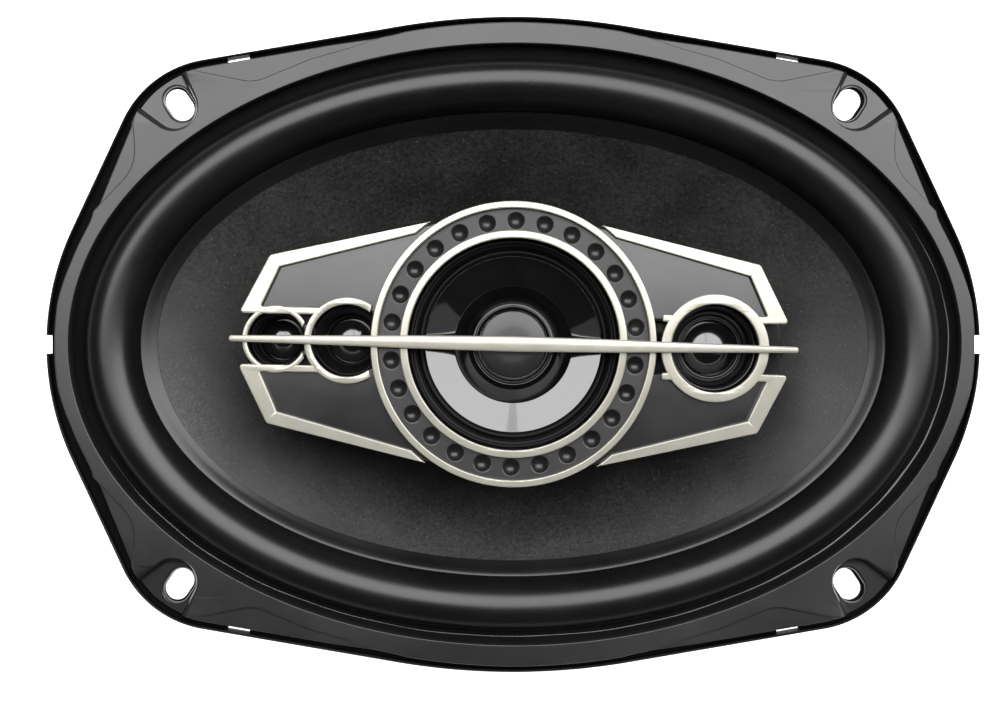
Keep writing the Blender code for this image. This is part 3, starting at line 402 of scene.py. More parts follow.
def stacked(name, loops, levels, smooth_angle):
    """Walls through every outline at each (inset, height), with a cap over all of them at both ends."""
    points, faces, caps = [], [], ([], [])
    for loop in loops:
        start, count = len(points), len(loop)
        for inset, height in levels:
            points += at_height(offset(loop, inset), height).tolist()
        faces += [tuple(start + k for k in face) for face in grid_faces(len(levels), count, False)]
        caps[0].append(range(start, start + count))
        caps[1].append(range(len(points) - count, len(points)))
    for cap in caps:
        index = [k for loop in cap for k in loop]
        polygons = [[Vector((*points[k][:2], 0)) for k in loop] for loop in cap]
        faces += [tuple(index[k] for k in triangle) for triangle in tessellate_polygon(polygons)]
    return make_item(name, points, faces, smooth_angle)


def plate(name, outer, holes, bottom, top, edge=0.25, steps=5):
    """A flat plate with rounded edges, from an outline and any holes."""
    loops = [anticlockwise(outer)] + [anticlockwise(hole, False) for hole in holes]
    angles = np.linspace(0, math.pi / 2, steps + 1)
    levels = [(edge * (1 - math.sin(a)), bottom + edge * (1 - math.cos(a))) for a in angles]
    levels += [(edge * (1 - math.cos(a)), top - edge * (1 - math.sin(a))) for a in angles]
    return weighted(stacked(name, loops, levels, 60))


def prism(name, outline, levels):
    """A cutter or a block: the outline at each (offset outwards, height)."""
    return stacked(name, [anticlockwise(outline)], [(-grown, height) for grown, height in levels], 35)


def weighted(item):
    """Keeps big flat faces flat beside small rounded edges."""
    modifier = item.modifiers.new("weighted_normals", "WEIGHTED_NORMAL")
    modifier.keep_sharp = True
    return item


def applied(item):
    """Replaces an object's mesh by its evaluated mesh."""
    bpy.context.view_layer.update()
    evaluated = item.evaluated_get(bpy.context.evaluated_depsgraph_get())
    mesh = bpy.data.meshes.new_from_object(evaluated)
    item.modifiers.clear()
    item.data = mesh
    return item


def boolean(item, operation, others):
    item.modifiers.clear()
    for other in others:
        other.modifiers.clear()
        modifier = item.modifiers.new(other.name, "BOOLEAN")
        modifier.operation = operation
        modifier.solver = "EXACT"
        modifier.object = other
    applied(item)
    for other in others:
        bpy.data.objects.remove(other, do_unlink=True)
    bm = bmesh.new()
    bm.from_mesh(item.data)
    bmesh.ops.remove_doubles(bm, verts=bm.verts, dist=0.002 * MM)
    bm.to_mesh(item.data)
    bm.free()
    return weighted(shade(item, 21))


def cut(item, *others):
    return boolean(item, "DIFFERENCE", others)


def union(item, *others):
    return boolean(item, "UNION", others)


def joined(name, *items):
    """One object from several separate shells."""
    bm = bmesh.new()
    for item in items:
        bm.from_mesh(applied(item).data)
        bpy.data.objects.remove(item, do_unlink=True)
    mesh = bpy.data.meshes.new(name)
    bm.to_mesh(mesh)
    bm.free()
    return weighted(shade(linked(name, mesh)))


def tube(name, route, radius, sides=12):
    """A round tube along a line of points, with flat ends."""
    route = np.array(route, float)
    tangents = unit(np.gradient(route, axis=0))
    side = np.cross(tangents[0], (0.3, 0.5, 0.8))
    rings = []
    angles = full_turn(sides)
    for point, tangent in zip(route, tangents):
        side = unit(side - tangent * (side @ tangent))
        up = np.cross(tangent, side)
        rings.append(point + radius * (np.outer(np.cos(angles), side) + np.outer(np.sin(angles), up)))
    points = np.vstack(rings)
    faces = grid_faces(len(rings), sides, False)
    faces.append(tuple(range(sides)))
    faces.append(tuple(range((len(rings) - 1) * sides, len(rings) * sides)))
    return make_item(name, points, faces, 50)


def moved(item, matrix):
    item.data.transform(matrix)
    return item


def on_pod(item):
    """Turns a piece with the pod, which sits slightly askew on its post."""
    return moved(item, Matrix.Rotation(math.radians(CLOCKING), 4, "Z"))


def dressed(item, slot, node, material):
    """Gives a piece its material, the one named by slot unless another is given, and hides the CAD node
    that it stands for.
    """
    item.data.materials.clear()
    item.data.materials.append(MATERIALS[material or slot])
    if node:
        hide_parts(node)


def finished(item, body, slot, node=None, material=None):
    """Makes a piece ride on a body."""
    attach(item, body)
    dressed(item, slot, node, material)


def flexing(item, slot, node, material=None):
    """Bakes a piece's place into its mesh and gives it its material, without putting it on any body."""
    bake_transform(item)
    dressed(item, slot, node, material)


def repaint(item, material, chosen):
    """Gives another material to the faces for which chosen(face) is true."""
    item.data.materials.append(MATERIALS[material])
    for face in item.data.polygons:
        if chosen(face):
            face.material_index = len(item.data.materials) - 1


def eased(share):
    share = np.clip(share, 0, 1)
    return share * share * (3 - 2 * share)


# ---- materials


class Finish:
    """A Principled material whose colour, roughness and relief come from procedural textures."""

    def __init__(self, name, roughness=0.5, metallic=0.0, **sockets):
        self.material = bpy.data.materials.new(name)
        self.material.use_nodes = True
        self.nodes = self.material.node_tree.nodes
        self.links = self.material.node_tree.links
        self.shader = self.nodes["Principled BSDF"]
        self.shader.inputs["Roughness"].default_value = roughness
        self.shader.inputs["Metallic"].default_value = metallic
        for label, value in sockets.items():
            self.shader.inputs[label.replace("_", " ")].default_value = value
        self.place = self.nodes.new("ShaderNodeTexCoord").outputs["Object"]
        self.normal = None

    def add(self, kind, values=None, **links):
        node = self.nodes.new("ShaderNode" + kind)
        for label, value in (values or {}).items():
            if label in node.inputs:
                node.inputs[label].default_value = value
            else:
                setattr(node, label, value)
        for label, source in links.items():
            self.links.new(source, node.inputs[label.replace("_", " ")])
        return node

    def noise(self, per_mm, detail=3.0):
        values = {"Scale": per_mm / MM, "Detail": detail, "Roughness": 0.6}
        return self.add("TexNoise", values, Vector=self.place).outputs["Fac"]

    def specks(self, per_mm):
        values = {"Scale": per_mm / MM, "feature": "F1"}
        return self.add("TexVoronoi", values, Vector=self.place).outputs["Distance"]

    def paired(self, operation, first, second):
        node = self.add("Math", {"operation": operation})
        self.links.new(first, node.inputs[0])
        self.links.new(second, node.inputs[1])
        return node.outputs[0]

    def span(self, source, low, high, to_low, to_high):
        values = {"From Min": low, "From Max": high, "To Min": to_low, "To Max": to_high}
        return self.add("MapRange", values, Value=source).outputs["Result"]

    def spread(self, source, low, high):
        """Carries the usual range of a noise over to low and high."""
        return self.span(source, 0.3, 0.7, low, high)

    def colours(self, source, *stops):
        """Blends two colours over a 0 to 1 source; each stop is (position, colour)."""
        ramp = self.add("ValToRGB", None, Fac=source)
        for element, (position, colour) in zip(ramp.color_ramp.elements, stops):
            element.position = position
            element.color = (*colour, 1.0)
        return ramp.outputs["Color"]

    def colour(self, output):
        self.links.new(output, self.shader.inputs["Base Color"])

    def tint(self, source, *stops):
        self.colour(self.colours(source, *stops))

    def roughness(self, output):
        self.links.new(output, self.shader.inputs["Roughness"])

    def relief(self, source, height_mm, strength=1.0):
        values = {"Distance": height_mm * MM, "Strength": strength}
        bump = self.add("Bump", values, Height=source)
        if self.normal is not None:
            self.links.new(self.normal, bump.inputs["Normal"])
        self.normal = bump.outputs["Normal"]
        self.links.new(self.normal, self.shader.inputs["Normal"])


def grey(value, warmth=0.0):
    return (value * (1 + warmth), value, value * (1 - warmth))


def painted(name, dark, light, rough_low, rough_high, grain, height, specular=0.5, broad=0.02, warmth=0.0):
    """A plain coloured surface with broad patches in its tone and gloss and a fine grain."""
    finish = Finish(name, Specular_IOR_Level=specular)
    patches = finish.noise(broad, 4.0)
    fine = finish.noise(grain, 2.0)
    mixed = finish.spread(patches, 0.0, 1.0)
    finish.tint(mixed, (0.0, grey(dark, warmth)), (1.0, grey(light, warmth)))
    finish.roughness(finish.spread(patches, rough_low, rough_high))
    finish.relief(fine, height)
    return finish


def metal(name, dark, light, roughness, rings=0.0):
    """Bare metal with faint clouds in its tone, a fine grain and, if it was turned, tool rings."""
    finish = Finish(name, roughness, 1.0)
    tone = finish.spread(finish.noise(0.05, 5.0), 0.0, 1.0)
    finish.tint(tone, (0.0, dark), (1.0, light))
    finish.roughness(finish.spread(finish.noise(0.4, 3.0), roughness * 0.8, roughness * 1.25))
    finish.relief(finish.noise(4.0, 3.0), 0.004)
    if rings:
        values = {"wave_type": "RINGS", "rings_direction": "Z", "Scale": rings / MM, "Distortion": 0.6}
        wave = finish.add("TexWave", values, Vector=finish.place).outputs["Fac"]
        finish.relief(wave, 0.006, 0.6)
    return finish


def cone_paper():
    """Coated pulp: matted fibres with fine light flecks."""
    finish = Finish("cone_paper", Specular_IOR_Level=0.48)
    fibres = finish.noise(1.1, 6.0)
    clouds = finish.noise(0.07, 3.0)
    both = finish.paired("MULTIPLY", fibres, clouds)
    base = finish.colours(both, (0.16, grey(0.005)), (0.42, grey(0.019, 0.04)))
    flecks = finish.colours(finish.specks(0.8), (0.04, grey(1.0)), (0.11, grey(0.0)))
    mix = finish.add("Mix", {"data_type": "RGBA"})
    finish.links.new(flecks, mix.inputs[0])
    finish.links.new(base, mix.inputs[6])
    mix.inputs[7].default_value = (0.13, 0.125, 0.112, 1.0)
    finish.colour(mix.outputs[2])
    finish.roughness(finish.spread(fibres, 0.42, 0.62))
    finish.relief(fibres, 0.05)
    finish.relief(finish.noise(4.0, 2.0), 0.015)
    return finish


def spider_cloth():
    """Two crossed sets of threads, stiffened with resin."""
    finish = Finish("spider_cloth", 0.75, Specular_IOR_Level=0.3)
    threads_per_mm = 1.6
    waves = []
    for direction in ("X", "Y"):
        values = {"bands_direction": direction, "Scale": threads_per_mm * 0.32 / MM, "Distortion": 0.4}
        waves.append(finish.add("TexWave", values, Vector=finish.place).outputs["Fac"])
    weave = finish.paired("MAXIMUM", *waves)
    finish.tint(weave, (0.2, (0.16, 0.09, 0.03)), (0.9, (0.42, 0.27, 0.11)))
    finish.relief(weave, 0.15)
    return finish


def ferrite():
    """Sintered grey ceramic with small pits."""
    finish = painted("ferrite", 0.022, 0.045, 0.5, 0.7, 2.5, 0.03, 0.4, 0.05)
    pits = finish.span(finish.specks(0.35), 0.0, 0.12, 0.0, 1.0)
    finish.relief(pits, 0.08, 0.6)
    return finish


def trim_silver():
    """Satin champagne lacquer with a fine metallic grain."""
    finish = Finish("trim_silver", 0.2, 0.35)
    tone = finish.spread(finish.noise(0.12, 2.0), 0.0, 1.0)
    finish.tint(tone, (0.0, (0.36, 0.350, 0.298)), (1.0, (0.40, 0.388, 0.330)))
    finish.roughness(finish.spread(finish.noise(0.3, 2.0), 0.12, 0.16))
    finish.relief(finish.noise(3.0, 1.0), 0.001)
    return finish


def gloss_black():
    """The midrange's lacquered cone, smooth enough to mirror the lamps."""
    finish = Finish("mid_cone_gloss", Specular_IOR_Level=0.9)
    tone = finish.noise(0.1, 3.0)
    finish.tint(tone, (0.3, grey(0.0025)), (0.7, grey(0.0045)))
    finish.roughness(finish.spread(tone, 0.03, 0.06))
    finish.relief(finish.noise(0.25, 1.0), 0.01, 0.3)
    return finish


# Dark and light tone, lowest and highest roughness, grains per mm, height of the grain in mm,
# then the specular level, broad patches per mm and warmth where they differ from the usual.
PAINTED = {
    "basket_paint": (0.003, 0.006, 0.38, 0.48, 1.6, 0.02, 0.2, 0.04),
    "gasket_rubber": (0.011, 0.016, 0.26, 0.34, 1.8, 0.006, 0.46, 0.03),
    "surround_rubber": (0.004, 0.006, 0.25, 0.32, 2.4, 0.006, 0.39, 0.04),
    "glue": (0.05, 0.14, 0.25, 0.4, 1.4, 0.02, 0.3),
    "surround_edge": (0.003, 0.005, 0.8, 0.9, 2.0, 0.03, 0.04, 0.04),
    "board_paper": (0.10, 0.17, 0.4, 0.55, 1.5, 0.03, 0.4, 0.4, 0.6),
    "pod_plastic": (0.010, 0.014, 0.14, 0.18, 3.0, 0.005, 0.52, 0.05),
    "pod_dimple": (0.007, 0.010, 0.31, 0.36, 3.0, 0.006, 0.42, 0.05),
    "wire_sleeve": (0.010, 0.016, 0.35, 0.45, 1.0, 0.01),
    "mid_cap_grey": (0.016, 0.022, 0.22, 0.28, 2.2, 0.008, 0.4, 0.08),
    "tweeter_dome": (0.004, 0.006, 0.09, 0.13, 0.8, 0.002, 0.9, 0.2),
    "capacitor_sleeve": (0.03, 0.05, 0.3, 0.4, 1.0, 0.01, 0.5, 0.1, -0.8),
    "well_gloss": (0.003, 0.005, 0.14, 0.20, 1.0, 0.004, 0.40),
    "well_black": (0.002, 0.004, 0.46, 0.56, 2.0, 0.008, 0.14, 0.08),
}
# Dark and light colour, roughness, turned rings per mm.
METALS = {
    "plated_steel": ((0.38, 0.372, 0.35), (0.52, 0.51, 0.48), 0.32, 1.2),
    "coil_former": ((0.62, 0.62, 0.62), (0.76, 0.76, 0.75), 0.3),
    "copper": ((0.60, 0.27, 0.13), (0.74, 0.38, 0.20), 0.3),
    "terminal_brass": ((0.66, 0.50, 0.22), (0.78, 0.62, 0.32), 0.28),
}
FINISHES = {name: painted(name, *values) for name, values in PAINTED.items()}
FINISHES.update({name: metal(name, *values) for name, values in METALS.items()})
FINISHES.update({
    "ferrite": ferrite(),
    "cone_paper": cone_paper(),
    "spider_cloth": spider_cloth(),
    "mid_cone_gloss": gloss_black(),
    "trim_silver": trim_silver(),
})
MATERIALS = {name: finish.material for name, finish in FINISHES.items()}


# ---- motor


def make_motor():
    """The yoke with its slot for the pod's wires, the ring magnet, the top plate and four rivets."""
    pole = [(15.9, 29.5), (15.9, 6.0), (45.0, 6.0), (45.0, 0.0)]
    bore = [(11.0, 0.0), (11.0, 9.0), (5.3, 9.0), (5.3, 29.5)]
    yoke = lathe("yoke_turned", fillet(pole + bore, [0.6, 0.8, 0.9, 0.9, 0.5, 0.4, 0.3, 0.4]), 160)
    slot = prism("wire_slot", rectangle(-2.5, 2.5, -50, -9), [(0, -3), (0, 2.3), (-0.3, 2.5)])
    finished(cut(yoke, slot), ROOT, "plated_steel", "t_yoke")
    magnet = lathe("magnet_ring", fillet(band(48.0, 22.0, 6.3, 23.3), 1.1, steps=3), 160)
    finished(magnet, ROOT, "ferrite", "magnet")
    top_plate = lathe("front_plate", fillet(band(45.0, 18.4, 23.6, 28.6), 0.5, steps=4), 160)
    finished(top_plate, ROOT, "plated_steel", "top_plate")
    for number, angle in enumerate((45, 135, 225, 315), 1):
        head = [(0, 31.5), (1.6, 31.45), (2.9, 31.1), (3.7, 30.5), (3.8, 30.2)]
        shank = [(2.0, 30.2), (2.0, 24.0), (0, 24.0)]
        rivet = lathe(f"floor_rivet_{number}", head + shank, 40, radial(31.0, angle))
        finished(rivet, ROOT, "plated_steel", f"basket_rivet_{number}")


# ---- basket


def make_wall():
    """The pressed wall with rounded windows and a raised bead down each rib."""
    count = RAYS_PER_WINDOW * WINDOWS
    angles = full_turn(count)
    foot, head = np.array(WALL_FOOT), np.array(WALL_HEAD)
    window = (0.18, 0.22, 0.5, 0.76, 0.80)
    cup = [(21, 29.4), (23, 29.4), (38, 29.4), (41, 29.5), (43.2, 31.0), (43.7, 34.0), (44.2, 42.0)]
    ledge = [(44.8, 44.6), (46.5, 45.0), (50.5, 45.0)]
    sections = [(half, half, height) for half, height in cup + ledge] + [(52.4, 52.2, 45.9)]
    sections += [tuple(foot + (head - foot) * share) for share in (0.02, *window, 0.97)]
    sections += [(108.3, 72.3, 78.3), (110.0, 74.0, 78.6)]
    first = len(cup + ledge) + 2
    last = first + len(window) - 1
    bead_rows = range(first - 1, last + 1)
    rings = []
    for row, (half_x, half_y, height) in enumerate(sections):
        grown = np.zeros(count)
        if row in bead_rows:
            grown[::RAYS_PER_WINDOW] = 1.3
        outline = ellipse((half_x + grown, half_y + grown), angles)
        rings.append(np.column_stack([outline, height - grown]))
    faces = grid_faces(len(rings), count, False)
    kept = []
    for index, face in enumerate(faces):
        row, ray = divmod(index, count)
        on_rib = ray % RAYS_PER_WINDOW in (0, RAYS_PER_WINDOW - 1)
        if on_rib or not first <= row < last:
            kept.append(face)
    wall = make_item("basket_wall", np.vstack(rings), kept)
    thickness = wall.modifiers.new("thickness", "SOLIDIFY")
    thickness.thickness = 1.0 * MM
    thickness.offset = 0
    smooth = wall.modifiers.new("smooth", "SUBSURF")
    smooth.levels = smooth.render_levels = 2
    return applied(wall)


def make_flange():
    """The flat flange with its rolled lip, as one closed section carried round the outline."""
    overlap = 0.2
    mouth = ellipse_beside_outline((BOWL_MOUTH[0] + overlap, BOWL_MOUTH[1] + overlap))
    lip = [
        (1.4, 78.0), (0.7, 78.05), (0.2, 78.4), (0.0, 79.0), (0.0, 81.1), (0.08, 81.4), (0.35, 81.6),
        (0.62, 81.4), (LIP_THICKNESS, 81.1), (LIP_THICKNESS, 79.8), (0.85, 79.4), (1.3, 79.2),
    ]
    rings = [at_height(mouth, FLANGE_BOTTOM)]
    rings += [at_height(inset_outline(np.full(OUTLINE_POINTS, inset)), height) for inset, height in lip]
    rings.append(at_height(mouth, FLANGE_TOP))
    flange = loft("flange", rings)
    tools = []
    half_x, half_y = SLIT_SIZE[0] / 2, SLIT_SIZE[1] / 2
    for number, (screw, middle) in enumerate(zip(each_corner(SCREW), each_corner(SLIT_CENTRE))):
        side = math.copysign(1, screw[0] * screw[1])
        slot = turned(stadium(*SCREW_SLOT), SLOT_ANGLE * side, screw)
        levels = [(0.6, 75), (0, 78.4), (0, 78.9), (0.5, 79.4), (0.5, 83)]
        tools.append(prism(f"slot_{number}", slot, levels))
        slit = turned(rectangle(-half_x, half_x, -half_y, half_y), SLIT_ANGLE * side, middle)
        tools.append(prism(f"slit_{number}", slit, [(0, 75), (0, 83)]))
    for side in (1, -1):
        low, high = on_side(side, LENGTH / 2 - NOTCH_DEPTH, LENGTH / 2 + 3)
        notch = rectangle(low, high, -NOTCH_HALF_WIDTH, NOTCH_HALF_WIDTH)
        tools.append(prism(f"notch_{side + 1}", notch, [(0, 75), (0, 85)]))
    return cut(flange, *tools)


def make_basket():
    """Wall, flange and the terminal board's bracket in one piece, matt where the gasket lies."""
    bracket = [(-48.0, 45.4), (-56.4, 45.4), (-56.4, 36.0), (-55.4, 36.0), (-55.4, 44.5), (-48.0, 44.5)]
    bracket = prism("bracket", fillet(bracket, [0, 1.2, 0.3, 0.3, 0.4, 0]), [(0, -9.0), (0, 9.0)])
    moved(bracket, Matrix(((0, 0, 1, 0), (1, 0, 0, 0), (0, 1, 0, 0), (0, 0, 0, 1))))
    basket = union(make_wall(), make_flange(), bracket)
    basket.name = "basket_shell"
    finished(basket, ROOT, "basket_paint", "basket")

    def on_flange_top(face):
        return FLANGE_TOP - 0.3 < face.center.z / MM < FLANGE_TOP + 0.5 and face.normal.z > 0.8

    repaint(basket, "surround_edge", on_flange_top)


# ---- gasket


def gasket_outlines():
    """The low outline with its jogs, and the raised level inside the stepped lines."""
    low = inset_outline(np.interp(POLAR, GASKET_INSET_ANGLES, GASKET_INSETS))
    quadrant = (OUTLINE[:, 0] > 0) & (OUTLINE[:, 1] > 0)
    order = np.argsort(POLAR[quadrant])
    points, polar = offset(low, GASKET_STEP_INSET)[quadrant][order], POLAR[quadrant][order]

    def stretch(start, stop):
        return points[(polar > start) & (polar < stop)].tolist()

    end_step, side_step = (smooth_line(step, 4).tolist() for step in (END_STEP, SIDE_STEP))
    high = stretch(0, 17.0) + end_step + stretch(30.4, 41.0) + side_step + stretch(70.4, 90)
    share = GASKET_SHARE
    return low * share, [(x * share, y * share) for x, y in four_quadrants(high)]


def pocket_cutter(name, mirror):
    """A flared recess with soft walls that runs out through the gasket's edge."""
    low, high = POCKET_WALLS
    outline = arc(POCKET_CENTRE, POCKET_RADIUS, 90 + high, 270 + low, 40)
    reach = 24.0
    for angle, point in ((low, outline[-1]), (high, outline[0])):
        outline.append(tuple(np.add(point, radial(reach, angle))))
    levels = [(-0.6, 0.0), (-0.2, 0.08), (0.0, 0.35), (0.2, 1.5), (0.5, 2.1)]
    levels += [(1.0, 2.4), (1.8, 2.6), (4.0, 3.2)]
    cutter = prism(name, outline, [(grown, POCKET_FLOOR + rise) for grown, rise in levels])
    slope, downhill = 0.03, (0.56, 0.83)
    for vertex in cutter.data.vertices:
        x, y = vertex.co.x / MM - SCREW[0], vertex.co.y / MM - SCREW[1]
        outwards = x * downhill[0] + y * downhill[1]
        vertex.co.z -= slope * outwards * MM
    cutter.data.transform(Matrix.Diagonal((*mirror, 1, 1)))
    if mirror[0] * mirror[1] < 0:
        cutter.data.flip_normals()
    return cutter


def make_gasket():
    """A low and a raised level in one moulding, with a pocket and a slot at each screw."""
    low, high = gasket_outlines()
    opening, opening_high = (
        ellipse((GASKET_INNER[0] + wider, GASKET_INNER[1] + wider), full_turn(360)) for wider in (0, 0.1)
    )
    gasket = plate("gasket_moulding", low, [opening], GASKET_BOTTOM, GASKET_LOW, GASKET_EDGE)
    raised = plate("gasket_raised", high, [opening_high], GASKET_RAISED_BOTTOM, GASKET_HIGH, GASKET_EDGE)
    union(gasket, raised)
    tools = []
    slot = stadium(SCREW_SLOT[0] + GASKET_SLOT_PLAY, SCREW_SLOT[1] + GASKET_SLOT_PLAY)
    for number, (mirror, screw) in enumerate(zip(each_corner((1, 1)), each_corner(SCREW))):
        tools.append(pocket_cutter(f"pocket_{number}", mirror))
        outline = turned(slot, SLOT_ANGLE * mirror[0] * mirror[1], screw)
        levels = [(0, 75), (0, POCKET_FLOOR - 0.7), (0.15, POCKET_FLOOR - 0.3), (0.6, POCKET_FLOOR)]
        tools.append(prism(f"gasket_slot_{number}", outline, levels + [(0.7, 85)]))
    cut(gasket, *tools)
    moved(gasket, Matrix.Translation((GASKET_SHIFT * MM, 0, 0)))
    finished(gasket, ROOT, "gasket_rubber", "trim_gasket")


# ---- woofer


def cone_height(points):
    """Height of the cone's middle surface below points near its rim."""
    share = np.ones(len(points))
    for _ in range(40):
        half_x = CONE_NECK + (CONE_RIM[0] - CONE_NECK) * share
        half_y = CONE_NECK + (CONE_RIM[1] - CONE_NECK) * share
        share = share * np.sqrt(np.hypot(points[:, 0] / half_x, points[:, 1] / half_y))
    return CONE_NECK_Z + (CONE_RIM_Z - CONE_NECK_Z) * share**CONE_FLARE


def make_surround():
    """Outer land, half roll, and an inner land that lies on the cone."""
    width = ROLL_OUTER[0] - ROLL_INNER[0]
    drop = LAND_TOP - INNER_LAND_TOP
    outer_land = SURROUND_OUTER[0] - ROLL_OUTER[0]
    inner_land = ROLL_INNER[0] - SURROUND_INNER[0]
    section = [(-outer_land, LAND_TOP - 0.1), (-outer_land + 0.3, LAND_TOP)]
    for angle in np.linspace(0, math.pi, 33):
        across = (1 - math.cos(angle)) / 2
        section.append((across * width, LAND_TOP - drop * across + ROLL_HEIGHT * math.sin(angle)))
    for share in (0.25, 0.5, 0.75, 0.92, 1.0):
        section.append((width + share * inner_land, INNER_LAND_TOP))
    section = fillet(section, 0.9, closed=False, steps=5)
    stops = (-outer_land, 0, width, width + inner_land)
    half_x = (SURROUND_OUTER[0], ROLL_OUTER[0], ROLL_INNER[0], SURROUND_INNER[0])
    half_y = (SURROUND_OUTER[1], ROLL_OUTER[1], ROLL_INNER[1], SURROUND_INNER[1])
    rings, weights = [], []
    angles = full_turn(RAYS)
    under = [(across, height - SURROUND_THICKNESS) for across, height in reversed(section)]
    for number, (across, height) in enumerate(section + under):
        half = (np.interp(across, stops, half_x), np.interp(across, stops, half_y))
        outline = ellipse(half, angles)
        ring = at_height(outline, height)
        glued = np.clip((across - width + 0.6) / (0.5 * inner_land + 0.6), 0, 1)
        if glued > 0:
            lift = 0.3 if number < len(section) else 0.02
            lift += CONE_THICKNESS / 2
            ring[:, 2] += glued * (cone_height(outline) + lift - height)
        rings.append(ring)
        weights += [eased(across / width)] * RAYS
    surround = loft("surround_roll", rings)
    flexing(surround, "surround_rubber", "surround")
    repaint(surround, "surround_edge", lambda face: all(weights[v] <= 0 for v in face.vertices))


def make_glue():
    """The uneven bead of glue between the surround and the gasket."""
    angles = full_turn(RAYS)
    half, mean_radius, height = (109.8, 73.7), 90, LAND_TOP - 0.14
    thinnest, swell = 0.07, 0.20
    wave = 0.12 * np.sin(9 * angles) * np.sin(4 * angles + 1) + 0.06 * np.sin(31 * angles)
    squeezed = np.clip(np.cos(angles + math.radians(38)), 0, 1) ** 2
    squeezed += 0.5 * np.clip(np.cos(angles + math.radians(128)), 0, 1) ** 6
    thick = thinnest + swell * squeezed * (0.75 + 0.25 * np.sin(23 * angles) * np.sin(8 * angles))
    bead = []
    for turn in full_turn(8):
        outline = ellipse(half, angles) * (1 + (wave + thick * math.cos(turn)) / mean_radius)[:, None]
        ring = at_height(outline, height)
        ring[:, 2] += thick * (0.4 + math.sin(turn))
        bead.append(ring)
    finished(loft("surround_glue", bead), ROOT, "surround_rubber", None, "glue")


def make_cone():
    """The oval cone, which flares a little from a straight line between its neck and rim."""
    angles = full_turn(RAYS)
    over, under = [], []
    for share in np.linspace(0, 1, 29):
        half = [CONE_NECK + (rim - CONE_NECK) * share for rim in CONE_RIM]
        height = CONE_NECK_Z + (CONE_RIM_Z - CONE_NECK_Z) * share**CONE_FLARE
        outline = ellipse(half, angles)
        over.append(at_height(outline, height + CONE_THICKNESS / 2))
        under.append(at_height(outline, height - CONE_THICKNESS / 2))
    cone = loft("cone_shell", over + under[::-1])
    finished(cone, WOOFER, "cone_paper", "cone")


def make_coil():
    """The former, its winding with one ripple for each turn, and glue at the cone's neck."""
    former = fillet(band(16.9, 16.5, 18.0, 52.0), 0.1, steps=2)
    finished(lathe("coil_former_tube", former, 128), WOOFER, "coil_former", "voice_coil_former")
    turns = 26
    bottom, top = 19.5, 32.5
    pitch = (top - bottom) / turns
    outer = [(17.4, top)]
    for turn in range(turns):
        centre = top - pitch * (turn + 0.5)
        for angle in (60, 20, -20, -60):
            across, up = radial(1, angle)
            outer.append((17.48 + 0.27 * across, centre + pitch / 2 * up * 0.98))
    profile = outer + [(17.4, bottom), (17.0, bottom), (17.0, top)]
    finished(lathe("coil_turns", profile, 96, smooth_angle=50), WOOFER, "copper", "voice_coil_winding")
    neck = [(18.6, 49.9), (17.9, 50.9), (17.0, 51.6), (16.95, 51.0), (16.95, 49.7), (17.8, 49.5)]
    finished(lathe("neck_glue", neck, 96), WOOFER, "mid_cone_gloss")


def make_spider():
    """Six corrugations between the coil and the flat rim glued on the basket's ledge."""
    waves, swing, thickness = 6, 1.15, 0.45
    inner, flat, outer = 17.1, 43.0, 50.0
    top = [(outer, SPIDER_Z)]
    count = 16 * waves + 1
    for i in range(count):
        share = i / (count - 1)
        height = SPIDER_Z + swing * math.sin(2 * math.pi * waves * share)
        top.append((flat + (inner - flat) * share, height))
    under = [(radius, height - thickness / 2) for radius, height in top]
    over = [(radius, height + thickness / 2) for radius, height in reversed(top)]
    spider = lathe("spider_disc", under + over, 144)
    flexing(spider, "spider_cloth", "spider")


# ---- terminals, leads and wires


def upright(item, y):
    """Stands a flat plate up: its own Y becomes Z, and its thickness runs towards -Y."""
    matrix = Matrix(((1, 0, 0, 0), (0, 0, -1, y * MM), (0, 1, 0, 0), (0, 0, 0, 1)))
    return moved(item, matrix)


def make_terminals():
    """The terminal board, its two rivets, and a wide and a narrow tab."""
    board = fillet(rectangle(-16.0, 16.0, 34.0, 50.0), 1.4)
    holes = [circle(1.8, 24, (side * 5.0, 40.5)) for side in (-1, 1)]
    panel = upright(plate("terminal_panel", board, holes, 0.0, 1.6, 0.12, 2), -56.7)
    finished(panel, ROOT, "board_paper", "terminal_board")
    for number, side in enumerate((-1, 1), 1):
        head = [(0, 1.0), (1.2, 0.95), (2.2, 0.75), (2.6, 0.4), (2.6, 0.3)]
        rivet = lathe(f"board_rivet_{number}", head + [(1.5, 0.3), (1.5, -2.9), (0, -2.9)], 32)
        moved(rivet, Matrix.Translation((side * 5 * MM, 40.5 * MM, 0)))
        finished(upright(rivet, -58.3), ROOT, "plated_steel", f"terminal_rivet_{number}")
    for name, middle, width in (("positive", 11.2, 4.75), ("negative", -11.2, 2.8)):
        half = width / 2
        slant = half * 0.45
        outline = [
            (middle - half, 44.0), (middle - half, 26.2), (middle - half + slant, 25.0),
            (middle + half - slant, 25.0), (middle + half, 26.2), (middle + half, 44.0),
        ]
        hole = circle(0.26 * width, 24, (middle, 29.5))
        tab = upright(plate(f"tab_{name}", outline, [hole], 0.0, 0.8, 0.12, 2), -58.6)
        finished(tab, ROOT, "terminal_brass", f"terminal_{name}")


